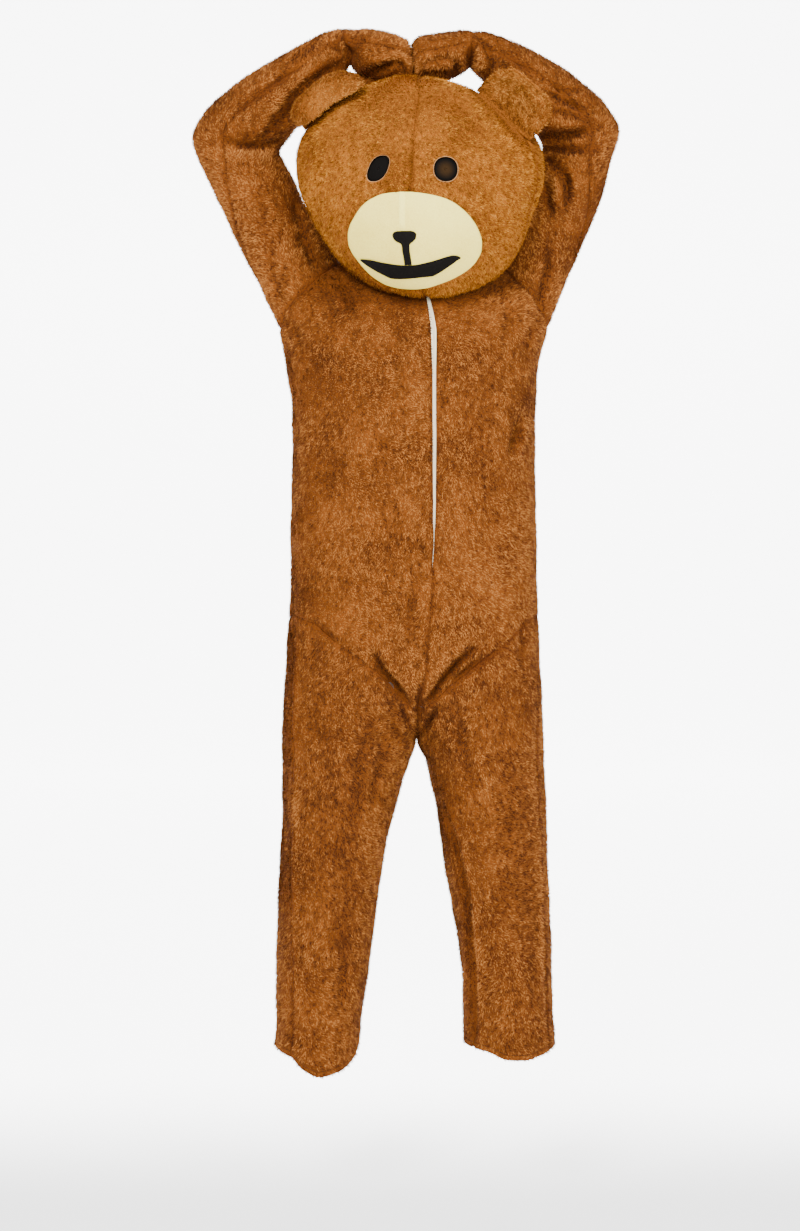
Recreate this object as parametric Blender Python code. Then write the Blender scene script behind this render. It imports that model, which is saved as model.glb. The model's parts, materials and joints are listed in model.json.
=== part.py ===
"""Bear costume: a plush one-piece suit, its round bear head and two mittens, as hollow cloth panels."""
import math

import bmesh
import bpy
import numpy as np

for old in list(bpy.data.objects):
    bpy.data.objects.remove(old, do_unlink=True)

# Metres. Heights in the tables are above the wearer's soles; x grows towards the wearer's left,
# y grows towards the back. The finished object is lowered so that the wearer's hold is the origin.
HOLD_HEIGHT = 1.440
WALL = 0.004
SEAM_GAP = 0.0003
HALF_ZIP_GAP = 0.0041
ZIP_THICKNESS = 0.0016
ARMPIT_HEIGHT = 1.442
SHOULDER_HEIGHT = 1.560
FORK_TOP = 0.900
CROTCH_HEIGHT = 0.767
CROTCH_CLEARANCE = 0.0004
V_HEIGHT = 0.822
SIDE_HIP_HEIGHT = 0.979
HEM_INNER_HEIGHT = 0.264
ZIP_END_HEIGHT = 1.0567
TRUNK_SQUARENESS = 2.4

# Counts along and across the panels.
ACROSS = 9
TRUNK_ROWS = 16
ARMHOLE_ROWS = 7
LEG_ROWS = 20
CROTCH_ROWS = 3
SLEEVE_ROWS = 25
NECK_COLUMN = 5

RIGHT, LEFT = -1, 1
FRONT, BACK = -1, 1
SIDE_NAMES = {RIGHT: "right", LEFT: "left"}
FACE_NAMES = {FRONT: "front", BACK: "back"}

TRUNK_COLUMNS = ("height", "right", "left", "front", "back", "middle")
TRUNK = [
    (0.767, -0.2250, 0.2070, -0.128, 0.118, 0.000),
    (0.834, -0.2215, 0.2051, -0.134, 0.128, 0.000),
    (0.900, -0.2180, 0.2016, -0.137, 0.130, 0.000),
    (0.966, -0.2145, 0.1997, -0.139, 0.124, 0.000),
    (1.032, -0.2094, 0.1961, -0.140, 0.114, 0.000),
    (1.098, -0.2092, 0.1943, -0.139, 0.108, 0.000),
    (1.164, -0.2078, 0.1924, -0.137, 0.106, 0.000),
    (1.262, -0.2071, 0.1920, -0.134, 0.110, 0.000),
    (1.328, -0.2086, 0.1935, -0.133, 0.114, 0.000),
    (1.361, -0.2134, 0.1945, -0.132, 0.115, 0.000),
    (1.393, -0.2182, 0.1981, -0.130, 0.116, 0.000),
    (1.426, -0.2230, 0.2062, -0.124, 0.115, 0.002),
    (1.442, -0.2260, 0.2110, -0.118, 0.113, 0.005),
    (1.475, -0.2260, 0.2110, -0.098, 0.107, 0.015),
    (1.510, -0.2260, 0.2110, -0.062, 0.097, 0.028),
    (1.540, -0.2260, 0.2110, -0.014, 0.082, 0.040),
    (1.560, -0.2260, 0.2110, 0.050, 0.050, 0.050),
]

# The middle front seam wanders towards the wearer's left above the waist.
FRONT_SEAM_COLUMNS = ("height", "x")
FRONT_SEAM = [
    (0.767, -0.0024), (0.838, 0.0007), (0.895, 0.0119), (0.943, 0.0167), (1.007, 0.0214),
    (1.055, 0.0222), (1.103, 0.0246), (1.167, 0.0253), (1.326, 0.0252), (1.436, 0.0243), (1.495, 0.0150),
    (1.560, -0.0075),
]

ARMHOLE_COLUMNS = ("height", "right", "left")
ARMHOLE = [
    (1.442, -0.2260, 0.2110), (1.460, -0.2215, 0.2065), (1.477, -0.2130, 0.1990),
    (1.515, -0.1760, 0.1640), (1.540, -0.1540, 0.1410), (1.560, -0.1400, 0.1260),
]

LEG_COLUMNS = ("height", "right_outer", "right_inner", "left_inner", "left_outer", "front", "back")
LEGS = [
    (0.255, -0.2399, -0.0964, 0.0771, 0.2306, -0.078, 0.078),
    (0.298, -0.2365, -0.0931, 0.0770, 0.2271, -0.079, 0.079),
    (0.365, -0.2379, -0.0847, 0.0752, 0.2235, -0.081, 0.083),
    (0.432, -0.2360, -0.0763, 0.0668, 0.2216, -0.085, 0.088),
    (0.500, -0.2325, -0.0663, 0.0551, 0.2180, -0.090, 0.091),
    (0.567, -0.2290, -0.0563, 0.0434, 0.2150, -0.096, 0.096),
    (0.634, -0.2254, -0.0430, 0.0350, 0.2141, -0.103, 0.102),
    (0.700, -0.2252, -0.0247, 0.0200, 0.2106, -0.112, 0.109),
    (0.734, -0.2251, -0.0131, 0.0117, 0.2088, -0.118, 0.113),
    (0.767, -0.2250, -0.0024, -0.0024, 0.2070, -0.126, 0.118),
    (0.900, -0.2180, -0.0024, -0.0024, 0.2016, -0.137, 0.130),
]

# How far round each ring the seams lie: 0 middle or inside leg, 1 outer side, 2 middle back.
SEAM_COLUMNS = ("height", "right_side", "left_side", "right_inseam", "left_inseam")
SEAMS = [
    (0.250, 0.700, 0.830, 0.000, 0.200), (0.360, 0.700, 0.830, 0.000, 0.200),
    (0.510, 0.745, 0.830, 0.000, 0.260), (0.600, 0.790, 0.830, 0.000, 0.220),
    (0.660, 0.790, 0.830, 0.000, 0.060), (0.700, 0.790, 0.830, 0.000, 0.020),
    (0.767, 0.790, 0.830, 0.000, 0.000), (0.930, 0.800, 0.850, 0.000, 0.000),
    (1.000, 0.870, 0.900, 0.000, 0.000), (1.100, 1.000, 1.000, 0.000, 0.000),
    (1.600, 1.000, 1.000, 0.000, 0.000),
]

# The slanted seam that joins trunk and legs, from the middle (0) to the side seam (1).
HIP_SEAM_COLUMNS = ("share", "front", "back")
HIP_SEAM = [
    (0.00, 0.822, 0.822), (0.04, 0.827, 0.834), (0.10, 0.839, 0.850), (0.19, 0.869, 0.870),
    (0.28, 0.892, 0.889), (0.38, 0.910, 0.907), (0.55, 0.937, 0.936), (0.77, 0.968, 0.964), (1.00, 0.979, 0.979),
]

HEM_COLUMNS = ("around", "right", "left")
HEM = [
    (0.00, 0.2640, 0.2640), (0.18, 0.2395, 0.2625), (0.32, 0.2260, 0.2600), (0.47, 0.2195, 0.2480),
    (0.60, 0.2320, 0.2465), (0.70, 0.2495, 0.2510), (1.00, 0.2595, 0.2605), (1.50, 0.2630, 0.2630),
    (2.00, 0.2640, 0.2640),
]

# Sleeves and mittens: the outline seen from the front, station by station along the arm.
ARM_COLUMNS = ("station", "outer_x", "outer_height", "inner_x", "inner_height", "middle", "depth")
RIGHT_ARM = [
    (0, -0.2260, 1.4420, -0.1400, 1.5600, 0.022, 0.0560),
    (1, -0.2604, 1.5156, -0.1600, 1.5920, 0.034, 0.0560),
    (2, -0.2964, 1.5843, -0.1830, 1.6430, 0.042, 0.0550),
    (3, -0.3322, 1.6594, -0.2040, 1.6890, 0.044, 0.0540),
    (4, -0.3582, 1.7115, -0.2202, 1.7180, 0.042, 0.0530),
    (5, -0.3728, 1.7571, -0.2284, 1.7359, 0.038, 0.0520),
    (6, -0.3545, 1.7960, -0.2152, 1.7554, 0.032, 0.0510),
    (7, -0.3051, 1.8382, -0.1971, 1.7766, 0.026, 0.0500),
    (8, -0.2427, 1.8787, -0.1691, 1.8058, 0.019, 0.0470),
    (9, -0.1829, 1.9112, -0.1374, 1.8354, 0.011, 0.0430),
    (10, -0.1503, 1.9265, -0.1194, 1.8548, 0.004, 0.0390),
    (11, -0.1240, 1.9300, -0.1110, 1.8690, 0.000, 0.0310),
]
LEFT_ARM = [
    (0, 0.2110, 1.4420, 0.1260, 1.5600, 0.022, 0.0560),
    (1, 0.2471, 1.5238, 0.1442, 1.5940, 0.034, 0.0560),
    (2, 0.2764, 1.5941, 0.1702, 1.6450, 0.042, 0.0550),
    (3, 0.3008, 1.6594, 0.1900, 1.6855, 0.044, 0.0540),
    (4, 0.3169, 1.7148, 0.1990, 1.7213, 0.042, 0.0530),
    (5, 0.3314, 1.7701, 0.2050, 1.7408, 0.038, 0.0520),
    (6, 0.3082, 1.8123, 0.1950, 1.7650, 0.032, 0.0510),
    (7, 0.2604, 1.8544, 0.1720, 1.7900, 0.026, 0.0500),
    (8, 0.2078, 1.8868, 0.1458, 1.8139, 0.019, 0.0470),
    (9, 0.1545, 1.9096, 0.1270, 1.8290, 0.011, 0.0440),
    (10, 0.1130, 1.9240, 0.1160, 1.8370, 0.003, 0.0410),
    (11, 0.0904, 1.9270, 0.0845, 1.8640, 0.000, 0.0320),
]
RIGHT_MITTEN = [
    (0, -0.1240, 1.9300, -0.1110, 1.8690, 0.000, 0.0310),
    (1, -0.1044, 1.9273, -0.1028, 1.8607, -0.001, 0.0330),
    (2, -0.0849, 1.9281, -0.0882, 1.8558, -0.003, 0.0345),
    (3, -0.0622, 1.9248, -0.0671, 1.8535, -0.004, 0.0350),
    (4, -0.0459, 1.9200, -0.0492, 1.8525, -0.005, 0.0345),
    (5, -0.0313, 1.9160, -0.0370, 1.8480, -0.006, 0.0330),
    (6, -0.0190, 1.9104, -0.0270, 1.8420, -0.006, 0.0280),
]
LEFT_MITTEN = [
    (0, 0.0904, 1.9270, 0.0845, 1.8640, 0.000, 0.0320),
    (1, 0.0710, 1.9273, 0.0727, 1.8575, -0.001, 0.0335),
    (2, 0.0547, 1.9248, 0.0597, 1.8500, -0.003, 0.0345),
    (3, 0.0352, 1.9216, 0.0418, 1.8456, -0.004, 0.0350),
    (4, 0.0190, 1.9184, 0.0239, 1.8424, -0.005, 0.0345),
    (5, 0.0060, 1.9160, 0.0105, 1.8404, -0.006, 0.0330),
    (6, -0.0020, 1.9100, 0.0010, 1.8420, -0.006, 0.0280),
]
RIGHT_THUMB = [
    (0, -0.1010, 1.8622, -0.1060, 1.8445, 0.0115, 0.0105),
    (1, -0.0849, 1.8577, -0.0900, 1.8380, 0.0125, 0.0110),
    (2, -0.0660, 1.8567, -0.0690, 1.8360, 0.0125, 0.0110),
    (3, -0.0530, 1.8557, -0.0540, 1.8380, 0.0125, 0.0095),
]
LEFT_THUMB = [
    (0, 0.0560, 1.8760, 0.0560, 1.8600, -0.0430, 0.0075),
    (1, 0.0440, 1.8760, 0.0430, 1.8570, -0.0450, 0.0095),
    (2, 0.0290, 1.8740, 0.0270, 1.8550, -0.0460, 0.0100),
    (3, 0.0170, 1.8700, 0.0160, 1.8540, -0.0440, 0.0085),
]
RING_POINTS = 14
THUMB_RING_POINTS = 8
SEAM_TWIST = math.radians(75)

HEAD_MIDDLE_Y = -0.050
HEAD_FRONT_DEPTH = 0.140
HEAD_BACK_DEPTH = 0.150
HEAD_COLUMNS = ("height", "right", "left")
HEAD = [
    (1.8446, -0.0008, -0.0008), (1.8430, -0.0230, 0.0201), (1.8398, -0.0458, 0.0346),
    (1.8335, -0.0763, 0.0580), (1.8223, -0.1081, 0.0900), (1.8080, -0.1343, 0.1183),
    (1.7889, -0.1585, 0.1441), (1.7682, -0.1770, 0.1699), (1.7443, -0.1891, 0.1885),
    (1.7204, -0.1957, 0.1991), (1.6964, -0.1965, 0.2008), (1.6725, -0.1942, 0.1993),
    (1.6485, -0.1862, 0.1929), (1.6245, -0.1765, 0.1833), (1.6005, -0.1637, 0.1757),
    (1.5764, -0.1484, 0.1657), (1.5524, -0.1315, 0.1506), (1.5363, -0.1153, 0.1367),
    (1.5203, -0.0960, 0.1190), (1.5074, -0.0766, 0.1013), (1.4962, -0.0491, 0.0784),
    (1.4881, -0.0168, 0.0540), (1.4849, 0.0200, 0.0200),
]
HEAD_TOP = HEAD[0][0]
HEAD_BOTTOM = HEAD[-1][0]
HEAD_SEAM_COLUMNS = ("turn", "front", "right", "left")
HEAD_SEAMS = [
    (0, 10, -88, 84), (29, 6, -86, 80), (46, 2, -85, 62), (65, -2.5, -85, 64), (88, -4.4, -84, 72),
    (111, -9.3, -82, 76), (130, -10.7, -82, 80), (150, -8.0, -82, 82), (180, -6.0, -82, 82),
]
# Where the head's cloth ends at the neck, by bearing from straight ahead.
HEAD_RIM_COLUMNS = ("bearing", "turn")
HEAD_RIM = [(0, 169), (40, 166), (80, 148), (110, 127), (135, 119), (180, 116)]
HEAD_ROWS = 13
HEAD_SIDE_COLUMNS = 7
HEAD_BACK_COLUMNS = 8
MUZZLE_CENTRE = (-0.008, 1.572)
MUZZLE_REACH = (0.150, 0.115)
MUZZLE_RISE = 0.013

MUZZLE_THICKNESS = 0.002
TRIM_THICKNESS = 0.0012
LAYER_GAP = 0.0012
TRIM_GAP = 0.0007
EAR_GAP = 0.0006
STRIP_COLUMNS = ("height", "right", "left")
MUZZLE = [
    (1.6470, -0.0375, -0.0111), (1.6444, -0.0576, 0.0091), (1.6397, -0.0701, 0.0324),
    (1.6336, -0.0817, 0.0495), (1.6228, -0.0934, 0.0666), (1.6105, -0.1019, 0.0798),
    (1.5982, -0.1089, 0.0892), (1.5843, -0.1121, 0.0962), (1.5719, -0.1113, 0.0993),
    (1.5596, -0.1067, 0.0986), (1.5472, -0.0981, 0.0931), (1.5349, -0.0880, 0.0831),
    (1.5241, -0.0771, 0.0683), (1.5148, -0.0639, 0.0496), (1.5086, -0.0515, 0.0325),
    (1.5040, -0.0344, 0.0170), (1.5017, -0.0181, 0.0023),
]
NOSE = [
    (1.5881, -0.0328, -0.0126), (1.5865, -0.0382, -0.0072), (1.5827, -0.0406, -0.0041),
    (1.5773, -0.0390, -0.0049), (1.5727, -0.0344, -0.0088), (1.5696, -0.0281, -0.0130),
    (1.5665, -0.0263, -0.0145), (1.5588, -0.0254, -0.0142), (1.5496, -0.0235, -0.0126),
    (1.5419, -0.0223, -0.0114), (1.5385, -0.0219, -0.0108),
]
# The mouth's strip runs sideways, so its first column is x and the others are heights.
MOUTH = [
    (-0.0903, 1.5476, 1.5490), (-0.0825, 1.5415, 1.5481), (-0.0732, 1.5353, 1.5466),
    (-0.0623, 1.5291, 1.5438), (-0.0515, 1.5237, 1.5415), (-0.0421, 1.5197, 1.5398),
    (-0.0297, 1.5186, 1.5381), (-0.0173, 1.5188, 1.5375), (-0.0048, 1.5196, 1.5381),
    (0.0076, 1.5208, 1.5404), (0.0200, 1.5220, 1.5433), (0.0324, 1.5276, 1.5469),
    (0.0433, 1.5345, 1.5503), (0.0526, 1.5407, 1.5523), (0.0588, 1.5453, 1.5521),
    (0.0643, 1.5484, 1.5500),
]

# Eye openings: a slanted oval on the wearer's right, a round one on the left.
EYE_COLUMNS = ("x", "height", "half_width", "half_height", "lean", "squareness")
EYES = {
    RIGHT: (-0.0637, 1.6845, 0.0165, 0.0212, 0.34, 2.4),
    LEFT: (0.0416, 1.6828, 0.0196, 0.0202, 0.00, 2.2),
}
EYE_POINTS = 16
EYE_SINK = 0.0018
EYE_THICKNESS = 0.0012

# The left ear stands up; the right one is folded down over its own foot.
EAR_LAYER = 0.0035
LEFT_EAR_COLUMNS = ("share", "foot_x", "foot_height", "edge_x", "edge_height")
LEFT_EAR = [
    (0.00, 0.0917, 1.8190, 0.0985, 1.8270), (0.08, 0.0965, 1.8135, 0.1092, 1.8363),
    (0.20, 0.1055, 1.8042, 0.1267, 1.8482), (0.35, 0.1167, 1.7923, 0.1491, 1.8490),
    (0.50, 0.1279, 1.7797, 0.1715, 1.8348), (0.65, 0.1391, 1.7654, 0.1923, 1.8142),
    (0.80, 0.1504, 1.7520, 0.2083, 1.7929), (0.92, 0.1616, 1.7433, 0.2084, 1.7708),
    (1.00, 0.1712, 1.7378, 0.1859, 1.7439),
]
RIGHT_EAR_COLUMNS = ("share", "foot_x", "foot_height", "fold_x", "fold_height", "edge_x", "edge_height")
RIGHT_EAR = [
    (0.00, -0.1046, 1.8235, -0.0998, 1.8349, -0.0863, 1.8200),
    (0.25, -0.1221, 1.8141, -0.1229, 1.8412, -0.1030, 1.8089),
    (0.50, -0.1454, 1.7983, -0.1492, 1.8318, -0.1253, 1.7987),
    (0.75, -0.1672, 1.7810, -0.1763, 1.8114, -0.1492, 1.7837),
    (0.90, -0.1784, 1.7684, -0.1922, 1.7979, -0.1668, 1.7695),
    (1.00, -0.1858, 1.7595, -0.2006, 1.7837, -0.1891, 1.7656),
]

# The largest folds, as troughs (negative depth) and ridges that run from one point to another.
FOLD_COLUMNS = ("face", "from_x", "from_height", "to_x", "to_height", "width", "depth")
FOLDS = [
    (FRONT, -0.325, 1.742, -0.232, 1.733, 0.014, -0.012),
    (FRONT, -0.300, 1.765, -0.232, 1.757, 0.014, 0.006),
    (FRONT, -0.305, 1.705, -0.240, 1.712, 0.014, 0.006),
    (FRONT, 0.295, 1.768, 0.206, 1.733, 0.014, -0.012),
    (FRONT, 0.270, 1.790, 0.206, 1.765, 0.014, 0.006),
    (FRONT, 0.250, 1.685, 0.200, 1.655, 0.016, -0.008),
    (FRONT, -0.068, 0.912, -0.015, 0.835, 0.013, -0.009),
    (FRONT, 0.070, 0.909, 0.032, 0.861, 0.013, -0.009),
    (FRONT, 0.172, 1.300, 0.150, 1.240, 0.013, -0.005),
    (FRONT, 0.100, 0.470, 0.120, 0.280, 0.016, -0.006),
    (FRONT, -0.150, 0.620, -0.165, 0.400, 0.020, 0.004),
    (BACK, -0.310, 1.742, -0.232, 1.733, 0.016, -0.006),
    (BACK, 0.290, 1.764, 0.206, 1.733, 0.016, -0.006),
    (BACK, -0.080, 0.920, -0.020, 0.850, 0.015, -0.008),
    (BACK, 0.080, 0.920, 0.020, 0.850, 0.015, -0.008),
    (BACK, -0.120, 1.030, 0.090, 1.050, 0.018, -0.005),
    (BACK, -0.190, 0.520, -0.110, 0.500, 0.018, -0.006),
    (BACK, 0.180, 0.520, 0.100, 0.500, 0.018, -0.006),
]

PLUSH = (0.36, 0.17, 0.05)
HEAD_PLUSH = (0.45, 0.23, 0.08)
CREAM = (0.78, 0.70, 0.52)
BLACK = (0.012, 0.010, 0.009)

collection = bpy.data.collections.new("bear_costume")
bpy.context.scene.collection.children.link(collection)
cutters = bpy.data.collections.new("cutters")
bpy.context.scene.collection.children.link(cutters)


def read(table, columns, name, place):
    """Smooth value of a named column at a place along the table's first column."""
    rows = np.array(sorted(table), dtype=float)
    places = rows[:, 0]
    values = rows[:, columns.index(name)]
    steps = np.diff(places)
    slopes = np.diff(values) / steps
    bends = np.zeros(len(values))
    bends[0] = slopes[0]
    bends[-1] = slopes[-1]
    for i in range(1, len(values) - 1):
        if slopes[i - 1] * slopes[i] > 0:
            bends[i] = 2 * slopes[i - 1] * slopes[i] / (slopes[i - 1] + slopes[i])
    place = np.clip(np.asarray(place, dtype=float), places[0], places[-1])
    i = np.clip(np.searchsorted(places, place, side="right") - 1, 0, len(steps) - 1)
    t = (place - places[i]) / steps[i]
    return (
        values[i] * (1 + 2 * t) * (1 - t) ** 2
        + bends[i] * steps[i] * t * (1 - t) ** 2
        + values[i + 1] * t * t * (3 - 2 * t)
        + bends[i + 1] * steps[i] * t * t * (t - 1)
    )


def ease(t):
    """Smooth step from 0 to 1."""
    t = np.clip(t, 0, 1)
    return t * t * (3 - 2 * t)


def mix(a, b, share):
    return a + (b - a) * share


def trunk_cloth(side, face, around, height):
    """Points of the trunk. around is 0 at the middle front, 1 at the side and 2 at the middle back."""
    right = read(TRUNK, TRUNK_COLUMNS, "right", height)
    left = read(TRUNK, TRUNK_COLUMNS, "left", height)
    hollow = read(TRUNK, TRUNK_COLUMNS, "middle", height)
    edge = read(ARMHOLE, ARMHOLE_COLUMNS, SIDE_NAMES[side], height)
    body_edge = right if side == RIGHT else left
    edge = np.where(height > ARMPIT_HEIGHT, edge, body_edge)
    centre = (right + left) / 2
    half = (left - right) / 2
    front = (around < 1) | ((around == 1) & (face == FRONT))
    share = np.where(front, around, 2 - around)
    seam = np.where(front, read(FRONT_SEAM, FRONT_SEAM_COLUMNS, "x", height), centre)
    spread = mix(np.sin(math.pi / 2 * share), share, ease((height - 1.40) / 0.10))
    x = seam + (edge - seam) * spread
    reach = np.where(
        front, read(TRUNK, TRUNK_COLUMNS, "front", height), read(TRUNK, TRUNK_COLUMNS, "back", height)
    ) - hollow
    out = np.clip(np.abs(x - centre) / half, 0, 1)
    y = hollow + reach * (1 - out ** TRUNK_SQUARENESS) ** (1 / TRUNK_SQUARENESS)
    return np.stack([x, y, height], axis=-1)


def leg_cloth(side, around, height):
    """Points of a leg. around is 0 at the inside of the leg, 1 outside and 2 inside again at the back."""
    name = SIDE_NAMES[side]
    outer = read(LEGS, LEG_COLUMNS, name + "_outer", height)
    inner = read(LEGS, LEG_COLUMNS, name + "_inner", height)
    turn = math.pi * around
    x = (outer + inner) / 2 - (outer - inner) / 2 * np.cos(turn)
    reach = np.where(
        np.sin(turn) > 0, read(LEGS, LEG_COLUMNS, "front", height), -read(LEGS, LEG_COLUMNS, "back", height)
    )
    y = reach * np.sin(turn)
    return np.stack([x, y, height], axis=-1)


def body_cloth(side, face, around, height):
    """Points of trunk and legs together: the rings part smoothly between the fork's top and the crotch."""
    trunk = trunk_cloth(side, face, np.clip(around, 0, 2), np.maximum(height, CROTCH_HEIGHT))
    leg = leg_cloth(side, around, np.minimum(height, FORK_TOP))
    share = 1 - np.sqrt(1 - ease((FORK_TOP - height) / (FORK_TOP - CROTCH_HEIGHT)) ** 1.5)
    points = mix(trunk, leg, share[..., None])
    points[..., 2] = height
    return points


def seam_place(side, seam, height):
    return read(SEAMS, SEAM_COLUMNS, SIDE_NAMES[side] + "_" + seam, height)


def panel_around(side, face, share, height):
    """Where round the ring a point of a front or back panel lies; share is 0 at the middle, 1 at the side."""
    side_seam = seam_place(side, "side", height)
    inseam = seam_place(side, "inseam", height)
    start = inseam if face == FRONT else inseam + 2
    return mix(start, side_seam, share)


def trunk_panel(side, face, shares, rows):
    """Grid of one trunk panel, from the hip seam up to the neck, shoulder and armhole."""
    share, row = np.meshgrid(shares, rows)
    bottom = read(HIP_SEAM, HIP_SEAM_COLUMNS, FACE_NAMES[face], share)
    neck_low = 1.495 if face == FRONT else 1.545
    neck_share = NECK_COLUMN / ACROSS
    top = np.where(
        share < neck_share, neck_low + (SHOULDER_HEIGHT - neck_low) * (share / neck_share) ** 2, SHOULDER_HEIGHT
    )
    height = mix(bottom, top, row)
    return body_cloth(side, face, panel_around(side, face, share, height), height)


def leg_panel(side, face, shares, rows):
    """Grid of one leg panel, from the hem up to the hip seam."""
    share, row = np.meshgrid(shares, rows)
    top = read(HIP_SEAM, HIP_SEAM_COLUMNS, FACE_NAMES[face], share)
    hem_around = panel_around(side, face, share, np.full(share.shape, 0.26))
    hem = read(HEM, HEM_COLUMNS, SIDE_NAMES[side], np.mod(hem_around, 2.0))
    hem = np.where(share == 0, HEM_INNER_HEIGHT, hem)
    height = mix(hem, top, row)
    return body_cloth(side, face, panel_around(side, face, share, height), height)


def arm_ring(table, station, turn):
    """Points round an arm; turn 0 is the outer edge of the front view, a quarter turn is its front."""
    row = {name: read(table, ARM_COLUMNS, name, station) for name in ARM_COLUMNS[1:]}
    swing = (1 - np.cos(turn)) / 2
    x = mix(row["outer_x"], row["inner_x"], swing)
    height = mix(row["outer_height"], row["inner_height"], swing)
    y = row["middle"] - row["depth"] * np.sin(turn)
    return np.stack([x, y, height], axis=-1)


def sleeve_cloth(side, armhole, shares, rows):
    """Grid of a sleeve. Its first ring is the armhole, and its seam twists towards the front at the elbow."""
    table = RIGHT_ARM if side == RIGHT else LEFT_ARM
    share, row = np.meshgrid(shares, rows)
    last = table[-1][0]
    station = row * last
    plain = 2 * math.pi * share
    turn = plain + SEAM_TWIST * ease(row / 0.45)
    ring = arm_ring(table, station, turn)
    first = arm_ring(table, np.zeros(share.shape), plain)
    fade = (1 - ease(row / 0.16))[..., None]
    return ring + (armhole[None, :, :] - first) * fade


def hand_cloth(table, shares, rows, dome):
    """Grid of a mitten or thumb: rings along its stations, then a domed end that closes to one point."""
    last = table[-1][0]
    share, row = np.meshgrid(shares, rows)
    inside = np.minimum(row, 1.0)
    turn = 2 * math.pi * share
    ring = arm_ring(table, inside * last, turn)
    tip_a = arm_ring(table, np.full((1,), float(last)), np.zeros(1))[0]
    tip_b = arm_ring(table, np.full((1,), float(last)), np.full(1, math.pi))[0]
    centre = (tip_a + tip_b) / 2
    along = np.array([tip_a[2] - tip_b[2], 0.0, tip_b[0] - tip_a[0]])
    along = along / np.linalg.norm(along)
    before = arm_ring(table, np.full((1,), last - 1.0), np.zeros(1))[0]
    if np.dot(along, tip_a - before) < 0:
        along = -along
    close = np.clip(row - 1.0, 0, 1) * math.pi / 2
    shrunk = centre + (ring - centre) * np.cos(close)[..., None] + along * dome * np.sin(close)[..., None]
    return np.where(row[..., None] > 1, shrunk, ring)


def head_ring(turn, bearing):
    """Points of the head. turn is in degrees from the crown down, bearing in degrees from straight ahead."""
    middle = (HEAD_TOP + HEAD_BOTTOM) / 2
    reach = (HEAD_TOP - HEAD_BOTTOM) / 2
    height = middle + reach * np.cos(np.radians(turn))
    right = read(HEAD, HEAD_COLUMNS, "right", height)
    left = read(HEAD, HEAD_COLUMNS, "left", height)
    depth = np.sin(np.radians(turn)) ** 0.9
    ahead = np.cos(np.radians(bearing))
    x = (right + left) / 2 + (left - right) / 2 * np.sin(np.radians(bearing))
    y = HEAD_MIDDLE_Y - np.where(ahead > 0, HEAD_FRONT_DEPTH, HEAD_BACK_DEPTH) * depth * ahead
    y = y - muzzle_rise(x, height) * np.clip(ahead * 2, 0, 1) * np.clip(depth * 4, 0, 1)
    return np.stack([x, y, height], axis=-1)


def muzzle_rise(x, height):
    across = (x - MUZZLE_CENTRE[0]) / MUZZLE_REACH[0]
    up = (height - MUZZLE_CENTRE[1]) / MUZZLE_REACH[1]
    return MUZZLE_RISE * np.exp(-(across ** 2 + up ** 2))


def head_front(x, height):
    """Point on the head's face for a place in the front view."""
    x = np.asarray(x, dtype=float)
    height = np.asarray(height, dtype=float)
    middle = (HEAD_TOP + HEAD_BOTTOM) / 2
    reach = (HEAD_TOP - HEAD_BOTTOM) / 2
    right = read(HEAD, HEAD_COLUMNS, "right", height)
    left = read(HEAD, HEAD_COLUMNS, "left", height)
    sine = np.clip((x - (right + left) / 2) / ((left - right) / 2), -1, 1)
    turn = np.degrees(np.arccos(np.clip((height - middle) / reach, -1, 1)))
    point = head_ring(turn, np.degrees(np.arcsin(sine)))
    point[..., 0] = x
    return point


def head_front_out(x, height, out):
    """Point in front of the head's face, moved out along the cloth's normal."""
    x, height = np.broadcast_arrays(np.asarray(x, dtype=float), np.asarray(height, dtype=float))
    step = 0.002
    along_x = head_front(x + step, height) - head_front(x - step, height)
    along_z = head_front(x, height + step) - head_front(x, height - step)
    normal = np.cross(along_x, along_z)
    normal = normal / np.linalg.norm(normal, axis=-1, keepdims=True)
    return head_front(x, height) + normal * np.asarray(out)[..., None]


def head_panel(start, end, shares, rows):
    """Grid of a head panel between two seams, from the crown down to the neck rim."""
    share, row = np.meshgrid(shares, rows)
    turn = 150 * row
    for _ in range(4):
        bearing = mix(head_seam(start, turn), head_seam(end, turn), share)
        turn = row * read(HEAD_RIM, HEAD_RIM_COLUMNS, "turn", np.abs(np.mod(bearing + 180, 360) - 180))
    return head_ring(turn, bearing)


def head_seam(name, turn):
    if name == "right_behind":
        return read(HEAD_SEAMS, HEAD_SEAM_COLUMNS, "right", turn) + 360
    if name == "behind":
        return np.full(np.shape(turn), 180.0)
    return read(HEAD_SEAMS, HEAD_SEAM_COLUMNS, name, turn)


def fold_push(points, normals):
    """How far the folds move each point along its normal."""
    push = np.zeros(points.shape[:-1])
    flat = points[..., [0, 2]]
    for face, x0, h0, x1, h1, width, depth in FOLDS:
        start = np.array([x0, h0])
        line = np.array([x1, h1]) - start
        along = np.clip(((flat - start) @ line) / (line @ line), 0, 1)
        away = np.linalg.norm(flat - (start + along[..., None] * line), axis=-1)
        facing = np.clip(face * normals[..., 1] * 1.6, 0, 1)
        taper = np.sin(math.pi * (0.12 + 0.76 * along))
        push += depth * np.exp(-((away / width) ** 2)) * facing * taper
    return push


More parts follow.
